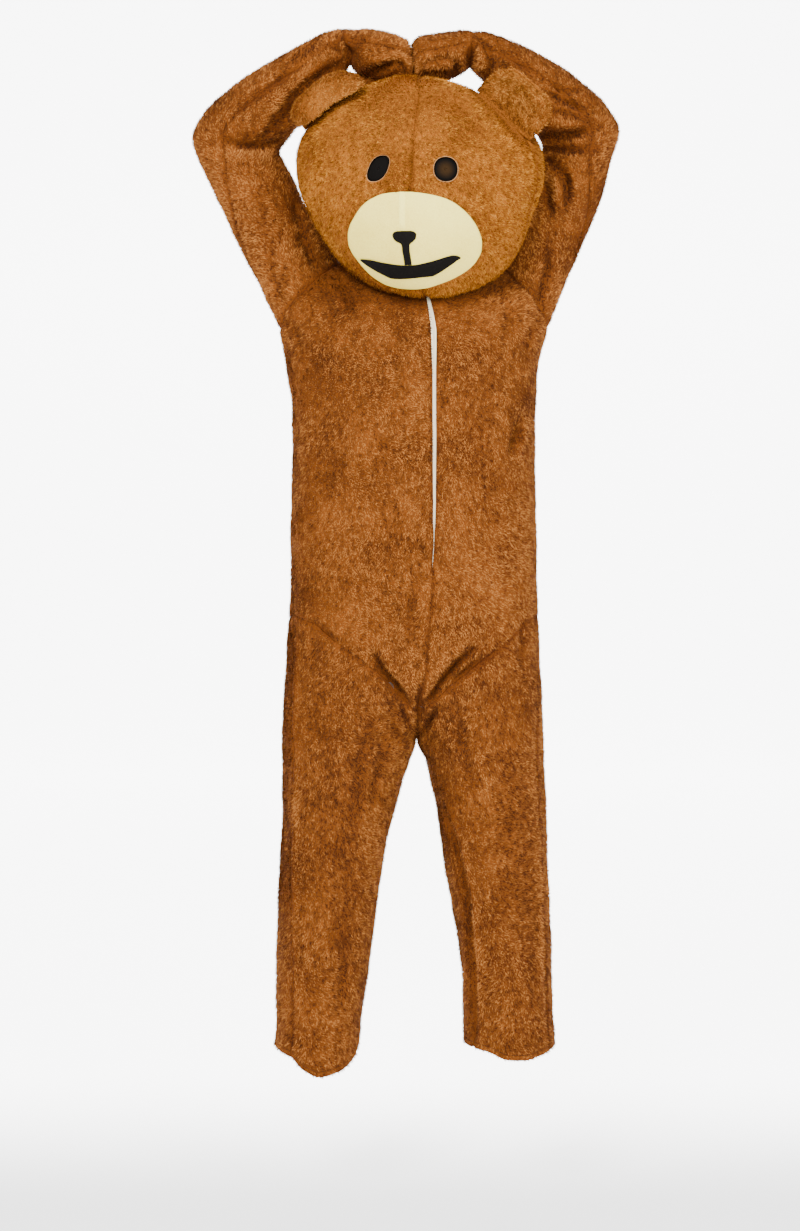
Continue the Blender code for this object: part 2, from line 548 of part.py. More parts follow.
def shared_normals(grids, signs):
    """Unit outward normals of every grid, averaged where grids share a seam."""
    sums = {}
    faces = []
    for grid, sign in zip(grids, signs):
        a, b = grid[:-1, :-1], grid[:-1, 1:]
        c, d = grid[1:, 1:], grid[1:, :-1]
        faces.append(np.cross(c - a, d - b) * sign)
    for grid, face in zip(grids, faces):
        keys = np.round(grid * 1e6).astype(np.int64)
        total = np.zeros(grid.shape)
        total[:-1, :-1] += face
        total[:-1, 1:] += face
        total[1:, 1:] += face
        total[1:, :-1] += face
        for key, value in zip(map(tuple, keys.reshape(-1, 3)), total.reshape(-1, 3)):
            sums[key] = sums.get(key, np.zeros(3)) + value
    normals = []
    for grid in grids:
        keys = np.round(grid * 1e6).astype(np.int64).reshape(-1, 3)
        found = np.array([sums[tuple(key)] for key in keys])
        found = found / np.maximum(np.linalg.norm(found, axis=-1, keepdims=True), 1e-12)
        normals.append(found.reshape(grid.shape))
    return normals


def edge_inward(edge, inside, normals):
    """Unit directions that lead from an edge into its panel, square to the edge and to the normal."""
    run = np.gradient(edge, axis=0)
    length = np.linalg.norm(run, axis=-1, keepdims=True)
    run = run / np.maximum(length, 1e-9)
    towards = inside - edge
    towards = towards - run * np.sum(towards * run, axis=-1, keepdims=True)
    towards = towards - normals * np.sum(towards * normals, axis=-1, keepdims=True)
    return towards / np.maximum(np.linalg.norm(towards, axis=-1, keepdims=True), 1e-9)


def drawn_back(grid, normals, pulls):
    """The grid with each named edge drawn back from its seam; pulls gives one distance for each edge."""
    moved = grid.copy()
    lines = {
        "bottom": (grid[0], grid[1], normals[0]),
        "top": (grid[-1], grid[-2], normals[-1]),
        "start": (grid[:, 0], grid[:, 1], normals[:, 0]),
        "end": (grid[:, -1], grid[:, -2], normals[:, -1]),
    }
    inward = {name: edge_inward(*line) for name, line in lines.items()}
    for name in ("start", "end"):
        for row, near in ((0, 1), (-1, -2)):
            if np.linalg.norm(inward[name][row]) < 0.5:
                inward[name][row] = inward[name][near]
    pull = {name: np.broadcast_to(pulls.get(name, 0.0), len(lines[name][0])) for name in lines}
    for name, target in (("bottom", moved[0]), ("top", moved[-1])):
        if np.linalg.norm(np.ptp(lines[name][0], axis=0)) > 1e-6:
            target[1:-1] += (inward[name] * pull[name][:, None])[1:-1]
    moved[1:-1, 0] += (inward["start"] * pull["start"][:, None])[1:-1]
    moved[1:-1, -1] += (inward["end"] * pull["end"][:, None])[1:-1]
    for row, level in ((0, "bottom"), (-1, "top")):
        point = np.linalg.norm(np.ptp(lines[level][0], axis=0)) <= 1e-6
        pairs = [("start", 0), ("end", -1)]
        if point:
            shift = corner_shift(inward["start"][row], pull["start"][row], inward["end"][row], pull["end"][row])
            moved[row] += shift
            continue
        for name, column in pairs:
            moved[row, column] += corner_shift(
                inward[level][column], pull[level][column], inward[name][row], pull[name][row]
            )
    return moved


def corner_shift(first, first_pull, second, second_pull):
    """The move that clears two edges at once at their shared corner."""
    lean = float(np.dot(first, second))
    lean = max(min(lean, 0.85), -0.85)
    a = (first_pull - second_pull * lean) / (1 - lean * lean)
    b = (second_pull - first_pull * lean) / (1 - lean * lean)
    return first * a + second * b


def material_for(name, colour, roughness):
    material = bpy.data.materials.new(name)
    material.use_nodes = True
    shader = material.node_tree.nodes["Principled BSDF"]
    shader.inputs["Base Color"].default_value = (*colour, 1.0)
    shader.inputs["Roughness"].default_value = roughness
    return material


def add_solid(name, points, faces, colour, roughness=0.9):
    """One closed object from points and triangles, lowered so that the wearer's hold is the origin."""
    keep = {}
    order = []
    index = []
    for point in points:
        key = tuple(np.round(np.asarray(point) * 1e7).astype(np.int64))
        if key not in keep:
            keep[key] = len(order)
            order.append((float(point[0]), float(point[1]), float(point[2]) - HOLD_HEIGHT))
        index.append(keep[key])
    clean = []
    for face in faces:
        corners = [index[i] for i in face]
        if len(set(corners)) == 3:
            clean.append(corners)
    mesh = bpy.data.meshes.new(name)
    mesh.from_pydata(order, [], clean)
    turned = bmesh.new()
    turned.from_mesh(mesh)
    bmesh.ops.recalc_face_normals(turned, faces=turned.faces)
    turned.to_mesh(mesh)
    turned.free()
    solid = bpy.data.objects.new(name, mesh)
    collection.objects.link(solid)
    mesh.materials.append(material_for(name, colour, roughness))
    return solid


def wall_faces(outer, inner, wrap=False):
    """Triangles of a sheet with two skins and closed edges; points are the outer grid, then the inner one."""
    rows, columns = outer.shape[:2]
    count = rows * columns
    around = columns if wrap else columns - 1
    points = np.concatenate([outer.reshape(-1, 3), inner.reshape(-1, 3)])

    def at(skin, row, column):
        return skin * count + row * columns + column % columns

    faces = []
    for row in range(rows - 1):
        for column in range(around):
            a, b = at(0, row, column), at(0, row, column + 1)
            c, d = at(0, row + 1, column + 1), at(0, row + 1, column)
            bulge = points[a] + points[c] - points[b] - points[d]
            if np.dot(bulge, points[a] - points[a + count]) < 0:
                a, b, c, d = b, c, d, a
            faces += [(a, b, c), (a, c, d)]
            faces += [(a + count, c + count, b + count), (a + count, d + count, c + count)]
    edges = [(at(0, row, i), at(0, row, i + 1)) for row in (0, rows - 1) for i in range(around)]
    if not wrap:
        edges += [(at(0, i, column), at(0, i + 1, column)) for column in (0, columns - 1) for i in range(rows - 1)]
    for a, b in edges:
        # Both sides of a seam must split their edge faces the same way, whichever way they count.
        if np.dot(points[a] - points[b], (1.0, 0.37, 0.71)) > 0:
            a, b = b, a
        faces += [(a, b, b + count), (a, b + count, a + count)]
    return faces


def build_sheet(name, outer, inner, colour, wrap=False, roughness=0.9):
    points = np.concatenate([outer.reshape(-1, 3), inner.reshape(-1, 3)])
    return add_solid(name, points, wall_faces(outer, inner, wrap), colour, roughness)


def build_wall_panel(name, grid, normals, pulls, colour, corner=None):
    """A cloth panel: its outer skin on the grid, its inner skin one wall further in."""
    outer = drawn_back(grid, normals, pulls)
    if corner is not None:
        row, shift = corner
        outer[row, 0] = grid[row, 0] + shift
    return build_sheet(name, outer, outer - normals * WALL, colour)


def suit_rows():
    armpit_row = (ARMPIT_HEIGHT - SIDE_HIP_HEIGHT) / (SHOULDER_HEIGHT - SIDE_HIP_HEIGHT)
    trunk = list(np.linspace(0, armpit_row, TRUNK_ROWS + 1))
    zip_row = (ZIP_END_HEIGHT - V_HEIGHT) / (1.495 - V_HEIGHT)
    nearest = min(range(len(trunk)), key=lambda i: abs(trunk[i] - zip_row))
    zip_start = nearest + 1
    trunk.insert(nearest, trunk[nearest] - 0.004)
    trunk += list(np.linspace(armpit_row, 1, ARMHOLE_ROWS + 1)[1:])
    crotch_row = (CROTCH_HEIGHT - HEM_INNER_HEIGHT) / (V_HEIGHT - HEM_INNER_HEIGHT)
    legs = list(np.linspace(0, crotch_row, LEG_ROWS + 1))
    legs += list(np.linspace(crotch_row, 1, CROTCH_ROWS + 1)[1:])
    return np.array(trunk), np.array(legs), zip_start


def build_suit():
    """Trunk, legs and sleeves as one cloth form, then parted into its cut panels."""
    shares = np.linspace(0, 1, ACROSS + 1)
    trunk_rows, leg_rows, zip_start = suit_rows()
    grids = {}
    signs = {}
    for side in (RIGHT, LEFT):
        for face in (FRONT, BACK):
            name = FACE_NAMES[face] + "_" + SIDE_NAMES[side]
            grids["trunk_" + name] = trunk_panel(side, face, shares, trunk_rows)
            grids["leg_" + name] = leg_panel(side, face, shares, leg_rows)
            signs["trunk_" + name] = signs["leg_" + name] = -side * face
        add_arm_grids(side, grids, signs)
    names = list(grids)
    normals = dict(zip(names, shared_normals([grids[n] for n in names], [signs[n] for n in names])))
    for name in names:
        grids[name] = grids[name] + normals[name] * fold_push(grids[name], normals[name])[..., None]
    normals = dict(zip(names, shared_normals([grids[n] for n in names], [signs[n] for n in names])))
    half = SEAM_GAP / 2
    zip_pull = np.full(len(trunk_rows), half)
    zip_pull[zip_start:] = HALF_ZIP_GAP
    for name in names:
        pulls = {"bottom": half, "top": half, "start": half, "end": half}
        if name.startswith("trunk_front"):
            pulls["start"] = zip_pull
        corner = None
        if name.startswith("leg"):
            # Four panels meet at the crotch, so this corner moves away from both seams.
            corner = (LEG_ROWS, CROTCH_CLEARANCE * np.array([corner_side(name), corner_face(name), 0.0]))
        build_wall_panel(name, grids[name], normals[name], pulls, PLUSH, corner)
    build_zip(grids, normals, zip_start)


def corner_side(name):
    return RIGHT if name.endswith("right") else LEFT


def corner_face(name):
    return FRONT if "_front_" in name else BACK


def sleeve_grid(side, grids):
    first = len(suit_rows()[0]) - 1 - ARMHOLE_ROWS
    front = grids["trunk_front_" + SIDE_NAMES[side]][first:, -1]
    back = grids["trunk_back_" + SIDE_NAMES[side]][first:, -1]
    armhole = np.concatenate([front, back[:-1][::-1]])
    shares = np.linspace(0, 1, RING_POINTS + 1)
    rows = np.linspace(0, 1, SLEEVE_ROWS + 1)
    return sleeve_cloth(side, armhole, shares, rows)


def add_arm_grids(side, grids, signs):
    """Front and back halves of a sleeve and its mitten; the mitten's first ring is the sleeve's last."""
    name = SIDE_NAMES[side]
    table = RIGHT_MITTEN if side == RIGHT else LEFT_MITTEN
    sleeve = sleeve_grid(side, grids)
    twist = SEAM_TWIST / (2 * math.pi)
    shares = np.linspace(0, 1, RING_POINTS + 1) + twist
    rows = np.concatenate([np.linspace(0, 1, 8), 1 + np.array([0.4, 0.75, 1.0])])
    ring = hand_cloth(table, shares, rows, 0.008)
    ring[0] = sleeve[-1]
    middle = RING_POINTS // 2
    for word, grid in (("sleeve_", sleeve), ("mitten_", ring)):
        grids[word + "front_" + name] = grid[:, :middle + 1]
        grids[word + "back_" + name] = grid[:, middle:]
        signs[word + "front_" + name] = signs[word + "back_" + name] = -side


def build_zip(grids, normals, zip_start):
    """The zip's tape, a narrow strip sunk between the two front edges."""
    grid = grids["trunk_front_left"]
    normal = normals["trunk_front_left"][zip_start:, 0]
    seam = grid[zip_start:, 0]
    run = np.gradient(seam, axis=0)
    across = np.cross(normal, run)
    across = across / np.linalg.norm(across, axis=-1, keepdims=True)
    across = across * np.sign(across[:, :1])
    half = HALF_ZIP_GAP - SEAM_GAP
    outer_middle = seam - normal * 0.0012
    outer = np.stack([outer_middle - across * half, outer_middle + across * half], axis=1)
    inner = outer - normal[:, None, :] * ZIP_THICKNESS
    build_sheet("zip_tape", outer, inner, CREAM, roughness=0.7)


def build_thumb(side):
    table = RIGHT_THUMB if side == RIGHT else LEFT_THUMB
    shares = np.arange(THUMB_RING_POINTS) / THUMB_RING_POINTS
    rows = np.concatenate([np.linspace(0, 1, 5), 1 + np.array([0.5, 1.0])])
    outer = hand_cloth(table, shares, rows, 0.008)
    around = np.concatenate([outer, outer[:, :1]], axis=1)
    normals = shared_normals([around], [-side])[0][:, :-1]
    inner = outer - normals * 0.003
    build_sheet("thumb_" + SIDE_NAMES[side], outer, inner, PLUSH, wrap=True)


def build_head():
    rows = np.linspace(0, 1, HEAD_ROWS + 1)
    side_shares = np.linspace(0, 1, HEAD_SIDE_COLUMNS + 1)
    back_shares = np.linspace(0, 1, HEAD_BACK_COLUMNS + 1)
    grids = {
        "head_front_right": head_panel("right", "front", side_shares, rows),
        "head_front_left": head_panel("front", "left", side_shares, rows),
        "head_back_left": head_panel("left", "behind", back_shares, rows),
        "head_back_right": head_panel("behind", "right_behind", back_shares, rows),
    }
    names = list(grids)
    normals = dict(zip(names, shared_normals([grids[n] for n in names], [-1] * 4)))
    half = SEAM_GAP / 2
    solids = {}
    for name in names:
        pulls = {"bottom": half, "start": half, "end": half}
        solids[name] = build_wall_panel(name, grids[name], normals[name], pulls, HEAD_PLUSH)
    for side in (RIGHT, LEFT):
        outline = eye_outline(side, 0.0)
        cut_eye(solids["head_front_" + SIDE_NAMES[side]], side, outline)
        build_eye(side)


def eye_outline(side, inset):
    """Outline of an eye opening in the front view."""
    x, height, half_width, half_height, lean, squareness = EYES[side]
    turns = 2 * math.pi * np.arange(EYE_POINTS) / EYE_POINTS
    across = np.sign(np.cos(turns)) * np.abs(np.cos(turns)) ** (2 / squareness) * (half_width - inset)
    up = np.sign(np.sin(turns)) * np.abs(np.sin(turns)) ** (2 / squareness) * (half_height - inset)
    return np.stack([x + across + lean * up, height + up], axis=-1)


def cut_eye(solid, side, outline):
    """Cuts the eye opening through the head's cloth."""
    front = head_front(outline[:, 0], outline[:, 1])[:, 1]
    near = np.stack([outline[:, 0], np.full(EYE_POINTS, front.min() - 0.02), outline[:, 1]], axis=-1)
    far = np.stack([outline[:, 0], np.full(EYE_POINTS, front.max() + 0.02), outline[:, 1]], axis=-1)
    faces = []
    for i in range(EYE_POINTS):
        j = (i + 1) % EYE_POINTS
        faces += [(i, j, j + EYE_POINTS), (i, j + EYE_POINTS, i + EYE_POINTS)]
    for i in range(1, EYE_POINTS - 1):
        faces += [(0, i + 1, i), (EYE_POINTS, EYE_POINTS + i, EYE_POINTS + i + 1)]
    cutter = add_solid("eye_cutter_" + SIDE_NAMES[side], np.concatenate([near, far]), faces, BLACK)
    collection.objects.unlink(cutter)
    cutters.objects.link(cutter)
    cutter.hide_render = True
    cutter.display_type = "WIRE"
    cut = solid.modifiers.new("eye_opening", "BOOLEAN")
    cut.operation = "DIFFERENCE"
    cut.solver = "EXACT"
    cut.object = cutter


def build_eye(side):
    """The dark mesh that fills an eye opening, set a little below the plush."""
    rings = []
    for share in (1.0, 0.55):
        outline = eye_outline(side, SEAM_GAP)
        centre = outline.mean(axis=0)
        rings.append(centre + (outline - centre) * share)
    centre = np.repeat(rings[0].mean(axis=0)[None, :], EYE_POINTS, axis=0)
    flat = np.stack(rings + [centre])
    flat = np.concatenate([flat, flat[:, :1]], axis=1)
    front = head_front(flat[..., 0], flat[..., 1])[:, :-1]
    outer = front + np.array([0, EYE_SINK, 0])
    inner = outer + np.array([0, EYE_THICKNESS, 0])
    build_sheet("eye_mesh_" + SIDE_NAMES[side], outer, inner, BLACK, wrap=True, roughness=0.6)


def strip_grid(table, rows, columns, sideways=False):
    """Front-view grid of a shape given as a strip between two outlines."""
    table = sorted(table)
    places = np.linspace(0, len(table) - 1, rows)
    steps = [(i, *row) for i, row in enumerate(table)]
    names = ("step",) + STRIP_COLUMNS
    along = read(steps, names, "height", places)
    low = read(steps, names, "right", places)
    high = read(steps, names, "left", places)
    shares = np.linspace(0, 1, columns)
    across = mix(low[:, None], high[:, None], shares[None, :])
    along = np.repeat(along[:, None], columns, axis=1)
    if sideways:
        return along, across
    return across, along


def build_patch(name, x, height, low, thickness, colour, roughness):
    outer = head_front_out(x, height, np.full(x.shape, low + thickness))
    inner = head_front_out(x, height, np.full(x.shape, low))
    build_sheet(name, outer, inner, colour, roughness=roughness)


def build_face():
    """Cream muzzle on the plush, then the black nose and mouth on the muzzle."""
    x, height = strip_grid(MUZZLE, 13, 9)
    build_patch("muzzle", x, height, LAYER_GAP, MUZZLE_THICKNESS, CREAM, 0.95)
    low = LAYER_GAP + MUZZLE_THICKNESS + TRIM_GAP
    x, height = strip_grid(NOSE, 11, 3)
    build_patch("nose", x, height, low, TRIM_THICKNESS, BLACK, 0.8)
    x, height = strip_grid(MOUTH, 15, 3, sideways=True)
    build_patch("mouth", x, height, low, TRIM_THICKNESS, BLACK, 0.8)


def head_turn(height):
    middle = (HEAD_TOP + HEAD_BOTTOM) / 2
    return np.degrees(np.arccos((height - middle) / ((HEAD_TOP - HEAD_BOTTOM) / 2)))


def ear_foot(x, height, behind):
    """Points just off the head's side, a given distance behind the place seen from the front."""
    turn = head_turn(height)
    side = head_ring(turn, np.full(turn.shape, 90.0 * np.sign(x[0])))
    crown = head_ring(turn, np.zeros(turn.shape))
    centre_x = crown[:, 0]
    reach = HEAD_FRONT_DEPTH * np.sin(np.radians(turn)) ** 0.9
    sine = np.clip(np.abs(x - centre_x) / np.abs(side[:, 0] - centre_x), 0, 1)
    ahead = np.cos(np.arcsin(sine)) - behind / reach
    bearing = np.degrees(np.arccos(ahead)) * np.sign(x[0])
    foot = head_ring(turn, bearing)
    return foot + np.array([EAR_GAP * np.sign(x[0]), 0, EAR_GAP])


def build_ears():
    """Each ear is two layers of plush, one behind the other."""
    shares = np.linspace(0, 1, 9)
    rise = np.linspace(0, 1, 5)[:, None, None]
    foot_x = read(LEFT_EAR, LEFT_EAR_COLUMNS, "foot_x", shares)
    foot_h = read(LEFT_EAR, LEFT_EAR_COLUMNS, "foot_height", shares)
    edge_x = read(LEFT_EAR, LEFT_EAR_COLUMNS, "edge_x", shares)
    edge_h = read(LEFT_EAR, LEFT_EAR_COLUMNS, "edge_height", shares)
    first = ear_foot(foot_x, foot_h, 0.0)
    faces = []
    for behind in (0.0, EAR_LAYER, EAR_LAYER + SEAM_GAP, 2 * EAR_LAYER + SEAM_GAP):
        foot = ear_foot(foot_x, foot_h, behind)
        edge = np.stack([edge_x, first[:, 1] - 0.006 + behind, edge_h], axis=-1)
        cup = 0.010 * np.sin(math.pi * shares)[None, :, None] * np.sin(math.pi * rise)
        faces.append(mix(foot[None], edge[None], rise) + cup * np.array([0, 1, 0]))
    build_sheet("ear_left_front", faces[0], faces[1], HEAD_PLUSH)
    build_sheet("ear_left_back", faces[2], faces[3], HEAD_PLUSH)
    build_folded_ear()


def build_folded_ear():
    """The right ear: up from its foot, over, and down in front of the head."""
    shares = np.linspace(0, 1, 9)

    def column(name):
        return read(RIGHT_EAR, RIGHT_EAR_COLUMNS, name, shares)

    foot = np.stack([column("foot_x"), column("foot_height")], axis=-1)
    fold = np.stack([column("fold_x"), column("fold_height")], axis=-1)
    edge = np.stack([column("edge_x"), column("edge_height")], axis=-1)
    foot_y = head_front(foot[:, 0] + 0.002, foot[:, 1] - 0.002)[:, 1] + 0.004
    edge_y = head_front(edge[:, 0] + 0.004, edge[:, 1] - 0.004)[:, 1] - 0.012
    path = []
    for share, y_share in ((0.0, 0.0), (0.45, 0.0), (0.85, 0.06), (1.0, 0.3)):
        path.append((mix(foot, fold, share), mix(foot_y, edge_y, y_share)))
    for share, y_share in ((0.93, 0.62), (0.6, 0.9), (0.3, 0.97), (0.0, 1.0)):
        path.append((mix(edge, fold, share), mix(foot_y, edge_y, y_share)))
    grid = np.stack([np.stack([flat[:, 0], y, flat[:, 1]], axis=-1) for flat, y in path])
    normals = shared_normals([grid], [1])[0]
    skins = []
    for out in (0.0, EAR_LAYER, EAR_LAYER + SEAM_GAP, 2 * EAR_LAYER + SEAM_GAP):
        skin = grid + normals * out
        skin[0] = ear_foot(foot[:, 0], foot[:, 1], out)
        skins.append(skin)
    build_sheet("ear_right_inner", skins[1], skins[0], HEAD_PLUSH)
    build_sheet("ear_right_outer", skins[3], skins[2], HEAD_PLUSH)


build_suit()
build_thumb(RIGHT)
build_thumb(LEFT)
build_head()
build_face()
build_ears()
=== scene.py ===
import json
import math

import bmesh
import bpy
import numpy as np
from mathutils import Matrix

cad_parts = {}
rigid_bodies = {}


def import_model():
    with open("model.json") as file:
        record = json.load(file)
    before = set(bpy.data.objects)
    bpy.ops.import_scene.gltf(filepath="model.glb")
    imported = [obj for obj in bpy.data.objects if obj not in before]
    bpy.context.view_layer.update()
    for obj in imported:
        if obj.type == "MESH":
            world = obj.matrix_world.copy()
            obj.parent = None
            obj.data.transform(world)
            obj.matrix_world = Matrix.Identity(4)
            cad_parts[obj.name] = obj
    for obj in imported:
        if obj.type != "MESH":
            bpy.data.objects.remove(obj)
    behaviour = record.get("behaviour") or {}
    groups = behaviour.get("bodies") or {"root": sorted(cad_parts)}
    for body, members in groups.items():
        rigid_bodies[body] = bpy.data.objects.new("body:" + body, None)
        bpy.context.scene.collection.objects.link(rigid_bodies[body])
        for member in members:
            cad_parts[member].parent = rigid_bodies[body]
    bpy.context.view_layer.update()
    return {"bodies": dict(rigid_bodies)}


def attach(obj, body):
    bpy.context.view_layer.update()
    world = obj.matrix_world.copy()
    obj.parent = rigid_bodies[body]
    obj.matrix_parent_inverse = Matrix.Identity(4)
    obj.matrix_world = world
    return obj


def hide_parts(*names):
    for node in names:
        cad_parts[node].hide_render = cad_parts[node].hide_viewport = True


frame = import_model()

ROOT = list(frame["bodies"])[0]

# Bear costume in plush, worn with raised arms. Metres. Heights in the tables are above the wearer's soles,
# x grows towards the wearer's left, y towards the back, and the finished pieces are lowered by HOLD_HEIGHT.
HOLD_HEIGHT = 1.440
SEAM_GAP = 0.0003
ARMPIT_HEIGHT = 1.442
SHOULDER_HEIGHT = 1.560
FORK_TOP = 0.900
CROTCH_HEIGHT = 0.767
MIDDLE_HIP_HEIGHT = 0.822
SIDE_HIP_HEIGHT = 0.979
HEM_INNER_HEIGHT = 0.264
ZIP_END_HEIGHT = 1.0567
HEM_HEIGHT = 0.26
TRUNK_SQUARENESS = 2.4
# Above this height the columns of a trunk panel spread evenly from the seam to the edge.
EVEN_HEIGHT = 1.40
EVEN_RISE = 0.10

# Counts along and across the fine panels.
ACROSS = 72
TRUNK_ROWS = 111
ARMHOLE_ROWS = 36
LEG_ROWS = 132
CROTCH_ROWS = 18
SLEEVE_ROWS = 129
NECK_COLUMN = 40
BACKING_STEP = 3

RIGHT, LEFT = -1, 1
FRONT, BACK = -1, 1
SIDE_NAMES = {RIGHT: "right", LEFT: "left"}
FACE_NAMES = {FRONT: "front", BACK: "back"}
NECK_LOW = {FRONT: 1.495, BACK: 1.545}

TRUNK_COLUMNS = ("height", "right", "left", "front", "back", "middle")
TRUNK = [
    (0.767, -0.2250, 0.2070, -0.128, 0.118, 0.000),
    (0.834, -0.2215, 0.2051, -0.134, 0.128, 0.000),
    (0.900, -0.2180, 0.2016, -0.137, 0.130, 0.000),
    (0.966, -0.2145, 0.1997, -0.139, 0.124, 0.000),
    (1.032, -0.2094, 0.1961, -0.140, 0.114, 0.000),
    (1.098, -0.2092, 0.1943, -0.139, 0.108, 0.000),
    (1.164, -0.2078, 0.1924, -0.137, 0.106, 0.000),
    (1.262, -0.2071, 0.1920, -0.134, 0.110, 0.000),
    (1.328, -0.2086, 0.1935, -0.133, 0.114, 0.000),
    (1.361, -0.2134, 0.1945, -0.132, 0.115, 0.000),
    (1.393, -0.2182, 0.1981, -0.130, 0.116, 0.000),
    (1.426, -0.2230, 0.2062, -0.124, 0.115, 0.002),
    (1.442, -0.2260, 0.2110, -0.118, 0.113, 0.005),
    (1.475, -0.2260, 0.2110, -0.098, 0.107, 0.015),
    (1.510, -0.2260, 0.2110, -0.062, 0.097, 0.028),
    (1.540, -0.2260, 0.2110, -0.014, 0.082, 0.040),
    (1.560, -0.2260, 0.2110, 0.050, 0.050, 0.050),
]

# The middle front seam wanders towards the wearer's left above the waist.
FRONT_SEAM_COLUMNS = ("height", "x")
FRONT_SEAM = [
    (0.767, -0.0024), (0.838, 0.0007), (0.895, 0.0119), (0.943, 0.0167), (1.007, 0.0214),
    (1.055, 0.0222), (1.103, 0.0246), (1.167, 0.0253), (1.326, 0.0252), (1.436, 0.0243), (1.495, 0.0150),
    (1.560, -0.0075),
]

ARMHOLE_COLUMNS = ("height", "right", "left")
ARMHOLE = [
    (1.442, -0.2260, 0.2110), (1.460, -0.2215, 0.2065), (1.477, -0.2130, 0.1990),
    (1.515, -0.1760, 0.1640), (1.540, -0.1540, 0.1410), (1.560, -0.1400, 0.1260),
]

LEG_COLUMNS = ("height", "right_outer", "right_inner", "left_inner", "left_outer", "front", "back")
LEGS = [
    (0.255, -0.2399, -0.0964, 0.0771, 0.2306, -0.078, 0.078),
    (0.298, -0.2365, -0.0931, 0.0770, 0.2271, -0.079, 0.079),
    (0.365, -0.2379, -0.0847, 0.0752, 0.2235, -0.081, 0.083),
    (0.432, -0.2360, -0.0763, 0.0668, 0.2216, -0.085, 0.088),
    (0.500, -0.2325, -0.0663, 0.0551, 0.2180, -0.090, 0.091),
    (0.567, -0.2290, -0.0563, 0.0434, 0.2150, -0.096, 0.096),
    (0.634, -0.2254, -0.0430, 0.0350, 0.2141, -0.103, 0.102),
    (0.700, -0.2252, -0.0247, 0.0200, 0.2106, -0.112, 0.109),
    (0.734, -0.2251, -0.0131, 0.0117, 0.2088, -0.118, 0.113),
    (0.767, -0.2250, -0.0024, -0.0024, 0.2070, -0.126, 0.118),
    (0.900, -0.2180, -0.0024, -0.0024, 0.2016, -0.137, 0.130),
]

# How far round each ring the seams lie: 0 middle or inside leg, 1 outer side, 2 middle back.
SEAM_COLUMNS = ("height", "right_side", "left_side", "right_inseam", "left_inseam")
SEAMS = [
    (0.250, 0.700, 0.830, 0.000, 0.200), (0.360, 0.700, 0.830, 0.000, 0.200),
    (0.510, 0.745, 0.830, 0.000, 0.260), (0.600, 0.790, 0.830, 0.000, 0.220),
    (0.660, 0.790, 0.830, 0.000, 0.060), (0.700, 0.790, 0.830, 0.000, 0.020),
    (0.767, 0.790, 0.830, 0.000, 0.000), (0.930, 0.800, 0.850, 0.000, 0.000),
    (1.000, 0.870, 0.900, 0.000, 0.000), (1.100, 1.000, 1.000, 0.000, 0.000),
    (1.600, 1.000, 1.000, 0.000, 0.000),
]

# The slanted seam that joins trunk and legs, from the middle (0) to the side seam (1).
HIP_SEAM_COLUMNS = ("share", "front", "back")
HIP_SEAM = [
    (0.00, 0.822, 0.822), (0.04, 0.827, 0.834), (0.10, 0.839, 0.850), (0.19, 0.869, 0.870),
    (0.28, 0.892, 0.889), (0.38, 0.910, 0.907), (0.55, 0.937, 0.936), (0.77, 0.968, 0.964),
    (1.00, 0.979, 0.979),
]

HEM_COLUMNS = ("around", "right", "left")
HEM = [
    (0.00, 0.2640, 0.2640), (0.18, 0.2395, 0.2625), (0.32, 0.2260, 0.2600), (0.47, 0.2195, 0.2480),
    (0.60, 0.2320, 0.2465), (0.70, 0.2495, 0.2510), (1.00, 0.2595, 0.2605), (1.50, 0.2630, 0.2630),
    (2.00, 0.2640, 0.2640),
]

# Sleeves and mittens: the outline seen from the front, station by station along the arm.
ARM_COLUMNS = ("station", "outer_x", "outer_height", "inner_x", "inner_height", "middle", "depth")
RIGHT_ARM = [
    (0, -0.2260, 1.4420, -0.1400, 1.5600, 0.022, 0.0560),
    (1, -0.2604, 1.5156, -0.1600, 1.5920, 0.034, 0.0560),
    (2, -0.2964, 1.5843, -0.1830, 1.6430, 0.042, 0.0550),
    (3, -0.3322, 1.6594, -0.2040, 1.6890, 0.044, 0.0540),
    (4, -0.3582, 1.7115, -0.2202, 1.7180, 0.042, 0.0530),
    (5, -0.3728, 1.7571, -0.2284, 1.7359, 0.038, 0.0520),
    (6, -0.3545, 1.7960, -0.2152, 1.7554, 0.032, 0.0510),
    (7, -0.3051, 1.8382, -0.1971, 1.7766, 0.026, 0.0500),
    (8, -0.2427, 1.8787, -0.1691, 1.8058, 0.019, 0.0470),
    (9, -0.1829, 1.9112, -0.1374, 1.8354, 0.011, 0.0430),
    (10, -0.1503, 1.9265, -0.1194, 1.8548, 0.004, 0.0390),
    (11, -0.1240, 1.9300, -0.1110, 1.8690, 0.000, 0.0310),
]
